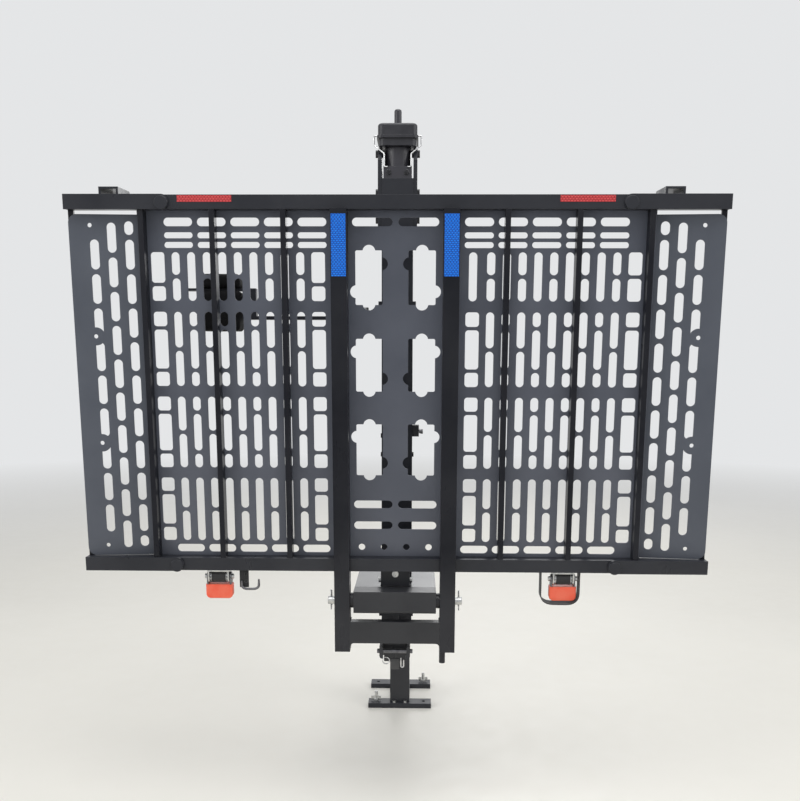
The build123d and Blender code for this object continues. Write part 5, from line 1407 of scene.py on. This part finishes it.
@dataclass
class Studio:
    """The pale floor, the even light of a white room, and the camera of the photograph."""

    wall: Colour = (0.78, 0.79, 0.80)
    wall_light: float = 0.55
    floor: Colour = (0.835, 0.815, 0.755)
    floor_radius: float = 40.0
    floor_corners: int = 96
    floor_shade: float = 0.965
    floor_clouds: Cloud = Cloud(1.6, 5.0, 0.35, 0.7)
    floor_scuffs: Cloud = Cloud(18.0, 4.0, 0.3, 0.7)
    floor_gloss: Span = (0.42, 0.60)
    floor_relief: float = 0.0002
    fade: Span = (2.2, 7.0)
    camera_place: Point = (0.0424, -2.3093, 0.8862)
    pitch: float = 7.706
    yaw: float = 1.087
    roll: float = 0.179
    focal: float = 900.0
    picture: tuple[int, int] = (800, 801)
    principal: tuple[float, float] = (400.0, 490.0)
    sensor: float = 36.0
    lamps: tuple[Lamp, ...] = (
        Lamp("ceiling_light", (0.2, -1.0, 3.4), (0.0, -0.4, 0.6), 3.2, 62.0),
        Lamp("left_window", (-3.2, -2.4, 1.9), (0.0, -0.4, 0.7), 2.2, 34.0),
        Lamp("right_window", (3.4, -1.6, 2.2), (0.0, -0.4, 0.7), 2.2, 26.0),
        Lamp("back_light", (0.6, 3.4, 2.6), (0.0, -0.2, 0.7), 2.4, 30.0),
    )

    def camera(self) -> None:
        """Set the camera where the photograph was taken."""
        data = bpy.data.cameras.new("photo camera")
        longer = max(self.picture)
        data.sensor_width = self.sensor
        data.lens = self.focal * data.sensor_width / longer
        data.shift_y = (self.principal[1] - self.picture[1] / 2) / longer
        data.shift_x = (self.picture[0] / 2 - self.principal[0]) / longer
        camera = bpy.data.objects.new("photo camera", data)
        turn = (Matrix.Rotation(math.radians(self.yaw), 4, "Z")
                @ Matrix.Rotation(math.radians(90.0 - self.pitch), 4, "X")
                @ Matrix.Rotation(math.radians(self.roll), 4, "Z"))
        camera.matrix_world = Matrix.Translation(self.camera_place) @ turn
        bpy.context.scene.collection.objects.link(camera)
        bpy.context.scene.camera = camera

    def lights(self) -> None:
        """Hang the soft lamps."""
        for lamp in self.lamps:
            data = bpy.data.lights.new(lamp.name, "AREA")
            data.shape = "DISK"
            data.size = lamp.width
            data.energy = lamp.power
            light = bpy.data.objects.new(lamp.name, data)
            light.location = lamp.place
            aim = Vector(lamp.target) - Vector(lamp.place)
            light.rotation_euler = aim.to_track_quat("-Z", "Y").to_euler()
            bpy.context.scene.collection.objects.link(light)

    def room(self) -> None:
        """Give the world the colour of the white walls, and plain light."""
        world = bpy.data.worlds.new("white room")
        bpy.context.scene.world = world
        wiring = Wiring(world)
        wall = (*self.wall, 1.0)
        shown = wiring.node("ShaderNodeBackground", {"Color": wall})
        light = wiring.node("ShaderNodeBackground", {"Color": wall, "Strength": self.wall_light})
        mix = wiring.node("ShaderNodeMixShader", {
            "Fac": wiring.seen(), 1: light.outputs["Background"],
            2: shown.outputs["Background"]})
        wiring.node("ShaderNodeOutputWorld", {"Surface": mix.outputs[0]})

    def ground(self) -> None:
        """Lay the pale floor, which fades into the walls with distance."""
        work = bmesh.new()
        bmesh.ops.create_circle(work, cap_ends=True, segments=self.floor_corners,
                                radius=self.floor_radius)
        floor = bpy.data.objects.new("floor", from_bmesh(work))
        bpy.context.scene.collection.objects.link(floor)
        recipe = Recipe("pale floor")
        deeper = tuple(channel * self.floor_shade for channel in self.floor)
        colour = recipe.tint(recipe.cloud(self.floor_clouds), self.floor, deeper)
        scuffs = recipe.noise(self.floor_scuffs)
        used = (self.floor_scuffs.low, self.floor_scuffs.high)
        recipe.surface(colour, recipe.remap(scuffs, used, self.floor_gloss),
                       recipe.relief(scuffs, self.floor_relief))
        glow = recipe.node("ShaderNodeEmission", {"Color": (*self.wall, 1.0)})
        length = recipe.node("ShaderNodeVectorMath")
        length.operation = "LENGTH"
        recipe.give(length, {0: recipe.place()})
        faded = recipe.maths("MULTIPLY", recipe.remap(length.outputs["Value"], self.fade),
                             recipe.seen())
        mix = recipe.node("ShaderNodeMixShader", {
            "Fac": faded, 1: recipe.shader.outputs["BSDF"], 2: glow.outputs["Emission"]})
        recipe.give(recipe.output, {"Surface": mix.outputs["Shader"]})
        floor.data.materials.append(recipe.material)

    def build(self) -> None:
        """Set up the camera, the light and the floor."""
        bpy.context.scene.view_settings.view_transform = "Standard"
        self.camera()
        self.lights()
        self.room()
        self.ground()


def main() -> None:
    """Build the whole scene in order."""
    logging.basicConfig(level=logging.INFO, format="%(message)s")
    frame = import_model()
    Studio().build()
    shop = Workshop(frame["nodes"])
    for assembly in (Stand(), Mast(), Carriage(), Platform(), StrapGear(), HoldDown()):
        assembly.build(shop)


if __name__ == "__main__":
    main()
